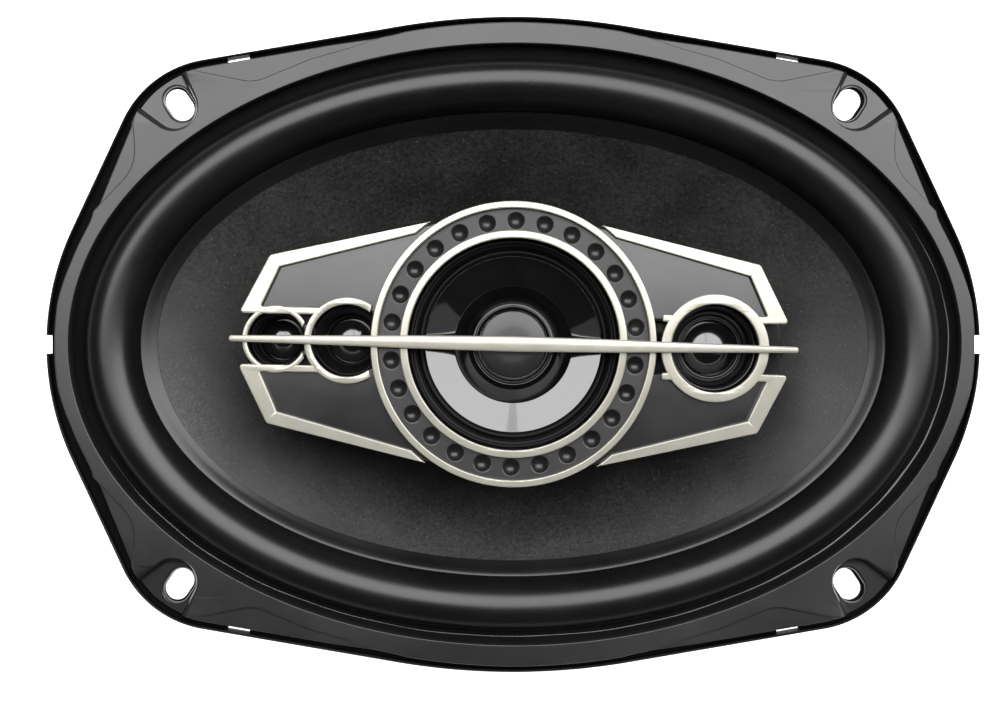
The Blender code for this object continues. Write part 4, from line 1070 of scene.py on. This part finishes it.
LEAD_ROUTE = (
    (13.0, -57.5, 50.9), (11.0, -59.5, 53.5), (9.0, -60.8, 57.5), (8.8, -58.5, 61.0),
    (8.8, -52.5, 61.5), (8.8, -45.0, 58.5), (8.6, -38.0, 55.8), (8.4, -31.0, 57.0),
)
WIRE_ROUTE = (
    (12.0, 0.0, 69.05), (6.0, 0.0, 69.05), (2.6, 0.0, 69.05), (1.35, 0.0, 68.1), (1.05, 0.0, 66.3),
    (1.05, 0.0, 60.0), (1.05, 0.0, 45.0), (1.05, 0.0, 30.0), (1.05, 0.0, 16.0), (1.05, 0.0, 5.0),
    (1.05, -1.0, 2.2), (1.05, -4.5, 1.3), (1.05, -16.0, 1.3), (1.05, -30.0, 1.3), (1.05, -43.0, 1.3),
    (1.05, -48.6, 2.6), (1.2, -50.2, 8.0), (1.6, -50.4, 17.0), (4.0, -51.4, 26.0), (8.5, -54.0, 31.5),
    (11.6, -55.4, 37.0),
)


def braid(name, route, strands=5):
    """Strands wound round a route; returns the piece and how far along each vertex lies."""
    centre = smooth_line(route, 14)
    steps = np.linalg.norm(np.diff(centre, axis=0), axis=1)
    along = np.concatenate([[0], np.cumsum(steps)])
    tangents = unit(np.gradient(centre, axis=0))
    side = unit(np.cross(tangents, (0.2, 0.3, 0.9)))
    up = np.cross(tangents, side)
    pitch, reach = 4.2, 0.34
    tubes = []
    for strand in range(strands):
        turn = 2 * math.pi * (along / pitch + strand / strands)
        helix = centre + reach * (np.cos(turn)[:, None] * side + np.sin(turn)[:, None] * up)
        tubes.append(tube(f"{name}_strand_{strand}", helix, 0.24, 7))
    piece = joined(name, *tubes)
    piece.modifiers.clear()
    points = np.array([v.co for v in piece.data.vertices]) / MM
    nearest = np.array([np.argmin(((centre - p) ** 2).sum(axis=1)) for p in points])
    return piece, along[nearest] / along[-1]


def blob(name, centre, radii):
    """A lump of solder or glue: a domed bead with a wavy foot."""
    profile = [(math.cos(a), math.sin(a)) for a in np.linspace(-1.2, math.pi / 2, 9)][:-1]
    item = lathe(name, [(0, 1.0)] + profile[::-1] + [(0, -0.95)], 32)
    for vertex in item.data.vertices:
        x, y, z = vertex.co / MM
        angle = math.atan2(y, x)
        wave = 1 + 0.07 * math.sin(3 * angle + centre[0]) + 0.04 * math.sin(5 * angle)
        shaped = (x * wave, y * wave, z)
        vertex.co = Vector(c + r * v for c, r, v in zip(centre, radii, shaped)) * MM
    return item


def make_leads():
    """Braided leads from the board to the cone, and insulated wires from the pod to the board."""
    for name, side in (("positive", 1), ("negative", -1)):
        route = [(side * x, y, z) for x, y, z in LEAD_ROUTE]
        lead, shares = braid(f"lead_braid_{name}", route)
        flexing(lead, "copper", f"tinsel_lead_{name}")
        solder = blob(f"lead_solder_{name}", (side * 13.0, -57.5, 50.6), (1.5, 1.3, 1.1))
        finished(solder, ROOT, "plated_steel")
        glue = blob(f"lead_glue_{name}", (side * 8.4, -31.4, 57.2), (2.3, 2.6, 1.2))
        finished(glue, WOOFER, "mid_cone_gloss")
        wire_route = smooth_line([(side * x, y, z) for x, y, z in WIRE_ROUTE], 5)
        finished(tube(f"wire_run_{name}", wire_route, 0.7, 14), ROOT, "wire_sleeve", f"pod_wire_{name}")
        joint = blob(f"wire_solder_{name}", (side * 11.4, -55.6, 37.2), (1.3, 0.9, 1.2))
        finished(joint, ROOT, "plated_steel")


# ---- post


def make_post():
    """The post that carries the pod through the pole, with its washer and nut."""
    outside = [(11.5, 64.0), (11.5, 61.0), (8.5, 58.0), (8.5, 29.8), (5.0, 29.8), (5.0, 3.0)]
    profile = fillet(outside + [(2.4, 3.0), (2.4, 64.0)], [0.5, 0.8, 1.2, 0.4, 0.2, 0.5, 0.3, 0.3])
    post = lathe("post_moulding", profile, 96)
    finished(post, ROOT, "pod_plastic", "pod_post")
    washer = fillet(band(9.6, 5.3, 7.7, 8.7), 0.2, steps=3)
    finished(lathe("washer_ring", washer, 72), ROOT, "plated_steel", "pod_washer")
    hexagon = fillet(circle(8.8, 6), 0.8, steps=4)
    nut = plate("hex_nut", hexagon, [circle(5.3, 64)], 4.0, 7.4, 0.35, 3)
    chamfer = lathe("nut_chamfer", [(12, 9), (12, 2), (7.6, 2), (8.9, 4.7), (8.9, 6.7), (7.6, 9)], 96)
    finished(cut(nut, chamfer), ROOT, "plated_steel", "pod_nut")


# ---- pod


def pod_outline(inset=0.0):
    quadrant = [(66.7, 0.0), (64.9, 6.2), (59.0, 19.9)]
    quadrant += arc((0, 0), POD_CIRCLE, POD_CIRCLE_START, 90, 24)[:-1]
    quadrant.append((0.0, POD_CIRCLE))
    return fillet(offset(anticlockwise(four_quadrants(quadrant)), inset).tolist(), 1.3)


def make_housing():
    """The pod's lower shell: a tray with a deep cup in its middle and a boss on the post."""
    floor, wall = HOUSING_FLOOR, 1.5
    levels = [(-1.0, floor), (-0.6, floor + 0.2), (-0.2, floor + 0.65), (0, floor + 1.3)]
    shell = prism("pod_shell", pod_outline(), levels + [(0, 90.8), (-0.2, HOUSING_TOP)])
    cup = [(0, 66.5), (22.4, 66.5), (23.5, 66.9), (24.0, 68.0), (24.0, 80.0), (0, 80.0)]
    boss = [(0, 64.3), (10.1, 64.3), (10.5, 64.7), (10.5, 66.4), (11.3, 66.8), (11.3, 67.5), (0, 67.5)]
    union(shell, lathe("cup", cup, 128), lathe("boss", boss, 96))
    hollow = prism("hollow", pod_outline(wall), [(0, floor + wall), (0, HOUSING_TOP + 3)])
    cup_hollow = drum("cup_hollow", 22.5, 68.0, 85.0, 128)
    bore = drum("bore", 2.4, 60, 70, 48)
    corners = each_corner(POD_SCREWS[0])
    holes = [drum(f"screw_hole_{k}", 1.5, 75, 85, 32, centre) for k, centre in enumerate(corners)]
    cut(shell, hollow, cup_hollow, bore, *holes)
    finished(on_pod(shell), ROOT, "pod_plastic", "pod_housing")


def make_pod_screws():
    """Cross-head screws, driven into the face's bosses from behind."""
    for number, centre in enumerate(POD_SCREWS, 1):
        head = [(2.5, 78.7), (2.5, 78.3), (2.2, 77.5), (1.4, 77.1), (0, 77.0)]
        screw = lathe(f"pan_screw_{number}", [(0, 88.8), (1.2, 88.8), (1.2, 78.7)] + head, 40, centre)
        arms = []
        for turn in (20, 110):
            outline = turned(rectangle(-1.4, 1.4, -0.28, 0.28), turn, centre)
            arms.append(prism(f"cross_{number}_{turn}", outline, [(0, 76.5), (0, 77.6), (-0.12, 78.2)]))
        finished(on_pod(cut(screw, *arms)), ROOT, "plated_steel", f"pod_screw_{number}")


def dimple_band():
    """The ring between the two big trim rings, with 26 round dimples in two arcs of 13."""
    rays = 798
    angles = full_turn(rays)
    places = [middle + DIMPLE_STEP * k for middle in (90, 270) for k in range(-6, 7)]
    centres = np.array([radial(DIMPLE_CIRCLE, degrees) for degrees in places])
    inner, outer = DIMPLE_BAND
    radii = [inner, *np.linspace(27.2, 33.6, 48), outer]
    depth, bluntness = 1.15, 0.95
    rings = []
    for radius in radii:
        points = ellipse((radius, radius), angles)
        away = np.min(np.linalg.norm(points[:, None, :] - centres[None], axis=2), axis=1)
        bowl = depth * np.clip(1 - (away / DIMPLE_RADIUS) ** 2, 0, 1) ** bluntness
        rings.append(np.column_stack([points, FACE_TOP - bowl]))
    bottom = [at_height(ellipse((r, r), angles), FACE_BOTTOM) for r in (outer, inner)]
    return loft("dimple_band", rings + bottom, smooth_angle=60)


def d_opening(radius, centre_x, limit):
    """A round opening on the -X side, cut straight into by a circle about the pod's axis."""
    reach = abs(centre_x)
    near = (limit**2 - radius**2 + reach**2) / (2 * reach)
    rise = math.sqrt(limit**2 - near**2)
    start = math.degrees(math.atan2(rise, reach - near))
    half_angle = math.degrees(math.atan2(rise, near))
    small = arc((centre_x, 0), radius, start, 360 - start, 72)
    return small + arc((0, 0), limit, 180 + half_angle, 180 - half_angle, 20)[1:-1]


def make_face():
    """The pod's front plate with its openings, small pits, sloped ends and screw bosses."""
    holes = [
        circle(34.0, 180),
        circle(TWEETER["opening"], 96, (TWEETER["x"], 0)),
        d_opening(INNER_SUPER["opening"], INNER_SUPER["x"], BIG_RING_CLEAR - 0.6),
        circle(OUTER_SUPER["opening"], 80, (OUTER_SUPER["x"], 0)),
    ]
    face = plate("pod_faceplate", pod_outline(), holes, FACE_BOTTOM, FACE_TOP, 0.35)
    pits = []
    for side in (1, -1):
        triangle = [(-52.6, side * 6.3), (-48.9, side * 6.3), (-50.8, side * 3.6)]
        pits.append(prism(f"pit_{side + 1}", anticlockwise(triangle), [(0, 91.9), (0, 95)]))
    gap = arc((0, 0), 34.3, -10.6, 10.6, 20) + arc((TWEETER["x"], 0), 12.6, 150, 210, 20)
    pits.append(prism("right_pit", gap, [(0, 91.6), (0, 95)]))
    ends, slope = 61.4, 0.36
    for side in (1, -1):
        low, high = on_side(side, ends, 68.0)
        step = prism(f"end_step_{side + 1}", rectangle(low, high, -6.0, 6.0), [(0, 93.0), (0, 96)])
        for vertex in step.data.vertices:
            vertex.co.z -= slope * (abs(vertex.co.x) - ends * MM)
        pits.append(step)
    cut(face, *pits)
    bosses = []
    for k, centre in enumerate(POD_SCREWS):
        profile = [(2.7, 91.6), (2.7, 80.8), (1.5, 80.8), (1.5, 90.3), (1.5, 91.6)]
        bosses.append(lathe(f"face_boss_{k}", profile, 32, centre))
    face = joined("pod_faceplate", face, dimple_band(), *bosses)
    finished(on_pod(face), ROOT, "pod_plastic", "pod_face")

    def on_band(polygon):
        away = math.hypot(polygon.center.x, polygon.center.y) / MM
        return 26.0 < away < 33.8 and FACE_TOP - 1.5 < polygon.center.z / MM < FACE_TOP + 0.1

    def on_pit_floor(polygon):
        return 91.5 < polygon.center.z / MM < 91.95 and polygon.normal.z > 0.9

    repaint(face, "pod_dimple", on_band)
    # Painted shade: the floors of the small pits take the darker, matt black of the wells, so the pits read
    # black.
    repaint(face, "well_black", on_pit_floor)


def wing_outline(side_x, side_y):
    """A quarter of the frame: tip, cropped corner, and the run to the big ring."""
    low, high = RAIL
    ring = BIG_RING_CLEAR + 0.1
    start, stop = 54.75, 47.25
    outline = [(57.5, low), (66.9, low), (59.6, 20.5)]
    outline += arc((0, 0), ring, start, stop, 9)
    outline += [(57.2, 17.6), (61.6, high), (57.5, high)]
    radii = [0, 0.75, 1.6] + [0] * 9 + [0.3, 0.3, 0]
    rounded = fillet(outline, radii, steps=4)
    return [(side_x * x, side_y * y) for x, y in rounded]


def make_trim():
    """Rings, frames, rails and bar. Their tops differ by hundredths, so that no two faces coincide."""

    def flat(name, outer, holes, drop, clear=None):
        piece = plate(name, outer, holes, TRIM_BOTTOM + drop, TRIM_TOP - drop, TRIM_EDGE)
        if clear:
            radius, centre = clear
            cut(piece, drum(name + "_clear", radius, 90, 100, 160, centre))
        return piece

    big = (BIG_RING_CLEAR, (0.0, 0.0))
    pieces = [flat("inner_big_ring", circle(27.7, 180), [circle(MID_OPENING, 180)], 0.0)]
    for side_y in (1, -1):
        for side_x in (1, -1):
            outline = wing_outline(side_x, side_y)
            pieces.append(flat(f"wing_frame_{side_x + 1}_{side_y + 1}", outline, [], 0.03))
        low, high = on_side(side_y, *RAIL)
        pieces.append(flat(f"left_rail_{side_y + 1}", rectangle(-64.0, -47.0, low, high), [], 0.05))
        stub = fillet(rectangle(36.1, 39.4, low, high), 0.5)
        pieces.append(flat(f"right_rail_{side_y + 1}", stub, [], 0.05))
    beside = (11.3, (INNER_SUPER["x"], 0.0))
    rings = ((TWEETER, 128, 0.02, None), (INNER_SUPER, 120, 0.02, big), (OUTER_SUPER, 100, 0.04, beside))
    for driver, count, drop, clear in rings:
        outer, inner = (circle(driver[radius], count, (driver["x"], 0)) for radius in ("ring", "opening"))
        pieces.append(flat(driver["name"] + "_ring", outer, [inner], drop, clear))
    bar = four_quadrants(arc((68.25, 0.0), 0.75, 0, 85, 6) + [(34.0, 1.38), (MID_OPENING, 1.6), (0.0, 1.9)])
    pieces.append(plate("long_bar", bar, [], TRIM_BOTTOM + 0.07, BAR_TOP, 0.55))
    trim = flat("pod_grille", circle(34.8, 220), [circle(33.1, 220)], 0.01)
    union(trim, *pieces)
    finished(on_pod(trim), ROOT, "trim_silver", "pod_trim")


# ---- small drivers


def make_midrange():
    """Frame, half roll, cone with a raised ring, and flat cap."""
    frame_line = [
        (25.45, 90.9), (25.45, 86.6), (17.6, 78.2), (17.6, 76.2), (10.6, 76.2), (10.6, 77.2), (16.4, 77.2),
        (23.6, 85.9), (23.6, 88.6), (24.0, 88.9), (24.0, 89.7), (24.75, 89.9), (24.75, 90.9),
    ]
    frame_piece = lathe("mid_basket", fillet(frame_line, 0.22, steps=4), 160)
    finished(on_pod(frame_piece), ROOT, "pod_plastic", "mid_frame", "well_black")

    bend = np.linspace(0.2, 2.9, 11)
    tilt = 0.35 * (1 - np.cos(bend)) / 2
    under = np.column_stack([22.65 + 0.5 * np.cos(bend), 87.2 + 0.8 * np.sin(bend) - tilt])
    over = np.column_stack([22.65 + 0.8 * np.cos(bend), 87.35 + 1.1 * np.sin(bend) - tilt])
    roll = [(23.5, 88.0), (23.5, 87.4), (23.2, 87.4), *under.tolist()]
    roll += [(21.95, 86.5), (21.95, 87.05), *over[::-1].tolist()]
    surround = on_pod(lathe("mid_roll", fillet(roll, 0.12, steps=3), 144))
    flexing(surround, "surround_rubber", "mid_surround", "well_black")

    cone_line = [
        (21.9, 86.95), (21.9, 86.35), (14.85, 84.6), (10.3, 79.5), (8.7, 79.5), (8.7, 81.3), (9.55, 82.05),
        (9.9, 80.1), (14.6, 85.15), (21.6, 86.88),
    ]
    cone_line = fillet(cone_line, [0.1, 0.1, 0.4, 0.3, 0.1, 0.15, 0.12, 0.3, 0.6, 0.1])
    finished(on_pod(lathe("mid_cone_shell", cone_line, 192)), MIDRANGE, "mid_cone_gloss", "mid_cone")
    cap_line = [(0, 80.95), (4.0, 80.93), (7.7, 80.9), (8.3, 80.7), (8.45, 80.3), (8.45, 80.0), (0, 80.0)]
    finished(on_pod(lathe("mid_cap", cap_line, 128)), MIDRANGE, "mid_cap_grey", "mid_dust_cap")


def make_small_driver(driver):
    """A stepped well with a shallow dome in it. The tweeter's well has one step more."""
    name, opening, radius = driver["name"], driver["opening"], driver["dome"]
    centre = (driver["x"], 0.0)
    floor = 82.6
    hole = radius + 0.4
    well = [
        (opening - 0.2, 90.9), (opening - 0.2, floor - 1.0), (hole, floor - 1.0), (hole, floor + 0.5),
        (hole + 0.25, floor + 1.25), (hole + 0.6, floor + 1.3),
    ]
    if driver is TWEETER:
        well += [(hole + 1.3, floor + 1.0), (hole + 1.5, floor + 1.9), (opening - 1.4, floor + 2.2)]
        surface = "well_gloss"
    else:
        well += [(hole + 0.75, floor + 0.8)]
        surface = "well_black"
    well += [(opening - 1.0, 88.3), (opening - 0.8, 90.9)]
    piece = lathe(f"{name}_well", fillet(well, 0.3, steps=4), 112, centre)
    finished(on_pod(piece), ROOT, "pod_plastic", f"{name}_frame", surface)

    base = floor + 1.0
    rise = DOME_RISE * radius
    sphere = (radius**2 + rise**2) / (2 * rise)
    angles = np.linspace(0, math.asin(radius / sphere), 20)
    over = [(sphere * math.sin(a), base + rise - sphere * (1 - math.cos(a))) for a in angles]
    under = [(r * (radius - 0.3) / radius, z - 0.3) for r, z in reversed(over)]
    line = over + [(radius, base - 2.4), (radius - 0.3, base - 2.4)] + under
    film = on_pod(lathe(f"{name}_film", line, 112, centre))
    finished(film, f"{name}_diaphragm", "tweeter_dome", f"{name}_dome")


def finish_inner_nodes():
    """CAD parts that keep their own shape, sealed inside the pod."""
    magnets = [driver["name"] + "_magnet" for driver in (TWEETER, INNER_SUPER, OUTER_SUPER)]
    slots = dict.fromkeys(magnets + ["mid_magnet"], "ferrite")
    slots.update({"mid_yoke": "plated_steel", "mid_voice_coil": "copper"})
    slots.update({"capacitor_midrange": "capacitor_sleeve", "capacitor_tweeter": "capacitor_sleeve"})
    for name, slot in slots.items():
        item = frame["nodes"][name]
        if item.material_slots:
            for held in item.material_slots:
                held.material = MATERIALS[slot]
        else:
            item.data.materials.append(MATERIALS[slot])


# ---- studio


def make_floor():
    """A nearly white floor, lit from within, just clear of the yoke's back."""
    half, gap = 3.0, 0.0003
    mesh = bpy.data.meshes.new("studio_floor")
    mesh.from_pydata(at_height(rectangle(-half, half, -half, half), 0).tolist(), [], [(0, 1, 2, 3)])
    floor = linked("studio_floor", mesh)
    floor.location.z = -gap
    finish = Finish("studio_floor", 0.9)
    finish.tint(finish.noise(0.002, 2.0), (0.3, grey(0.86)), (0.7, grey(0.9)))
    finish.shader.inputs["Emission Color"].default_value = (1, 1, 1, 1)
    finish.shader.inputs["Emission Strength"].default_value = 0.9
    mesh.materials.append(finish.material)


def area_light(name, place, size, power):
    """A rectangular lamp that faces straight down."""
    data = bpy.data.lights.new(name, "AREA")
    data.shape = "RECTANGLE"
    data.size, data.size_y = size
    data.energy = power
    light = linked(name, data)
    light.location = place
    light.visible_camera = False


def make_lights():
    """A bright half ceiling that starts right above the speaker and reaches towards +Y, with a
    narrow, slightly darker strip down its middle, and a faint panel on either side."""
    height, radiance = 1.6, 7.2
    near, far, beam = 0.03, 1.4, 0.022
    # Name, reach in X, reach in Y, radiance.
    panels = [
        ("panel_left", -0.87, -beam, near, far, radiance),
        ("panel_middle", -beam, 3 * beam, near, far, 0.72 * radiance),
        ("panel_right", 3 * beam, 1.9, near, far, radiance),
        ("side_left", -1.05, -0.6, -0.2, -0.03, 0.35),
        ("side_right", 0.6, 1.05, -0.36, -0.05, 0.45),
    ]
    for name, x_low, x_high, y_low, y_high, strength in panels:
        width, depth = x_high - x_low, y_high - y_low
        x, y = (x_low + x_high) / 2, (y_low + y_high) / 2
        area_light(name, (x, y, height), (width, depth), strength * math.pi * width * depth)


def make_room():
    """Surroundings that are pale at the horizon and nearly black overhead."""
    world = bpy.data.worlds.new("room")
    bpy.context.scene.world = world
    world.use_nodes = True
    nodes, links = world.node_tree.nodes, world.node_tree.links
    background = nodes["Background"]
    place = nodes.new("ShaderNodeTexCoord")
    split = nodes.new("ShaderNodeSeparateXYZ")
    links.new(place.outputs["Generated"], split.inputs[0])
    ramp = nodes.new("ShaderNodeValToRGB")
    links.new(split.outputs["Z"], ramp.inputs[0])
    elements = ramp.color_ramp.elements
    elements[0].position, elements[0].color = 0.05, (0.6, 0.6, 0.6, 1)
    elements[1].position, elements[1].color = 0.35, (0.028, 0.028, 0.028, 1)
    links.new(ramp.outputs[0], background.inputs["Color"])
    background.inputs["Strength"].default_value = 1.0


def make_camera():
    """Straight in front, about 0.4 m from the flange."""
    data = bpy.data.cameras.new("camera")
    data.lens = 57.0
    data.sensor_width = 36.0
    camera = linked("camera", data)
    camera.location = (-0.0033, -0.0018, 0.4796)
    bpy.context.scene.camera = camera


bpy.context.scene.view_settings.view_transform = "Standard"
for make in (
    make_camera, make_floor, make_lights, make_room, make_motor, make_basket, make_gasket,
    make_surround, make_glue, make_cone, make_coil, make_spider, make_terminals, make_leads, make_post,
    make_housing, make_pod_screws, make_face, make_trim, make_midrange,
):
    make()
for small_driver in (TWEETER, INNER_SUPER, OUTER_SUPER):
    make_small_driver(small_driver)
finish_inner_nodes()
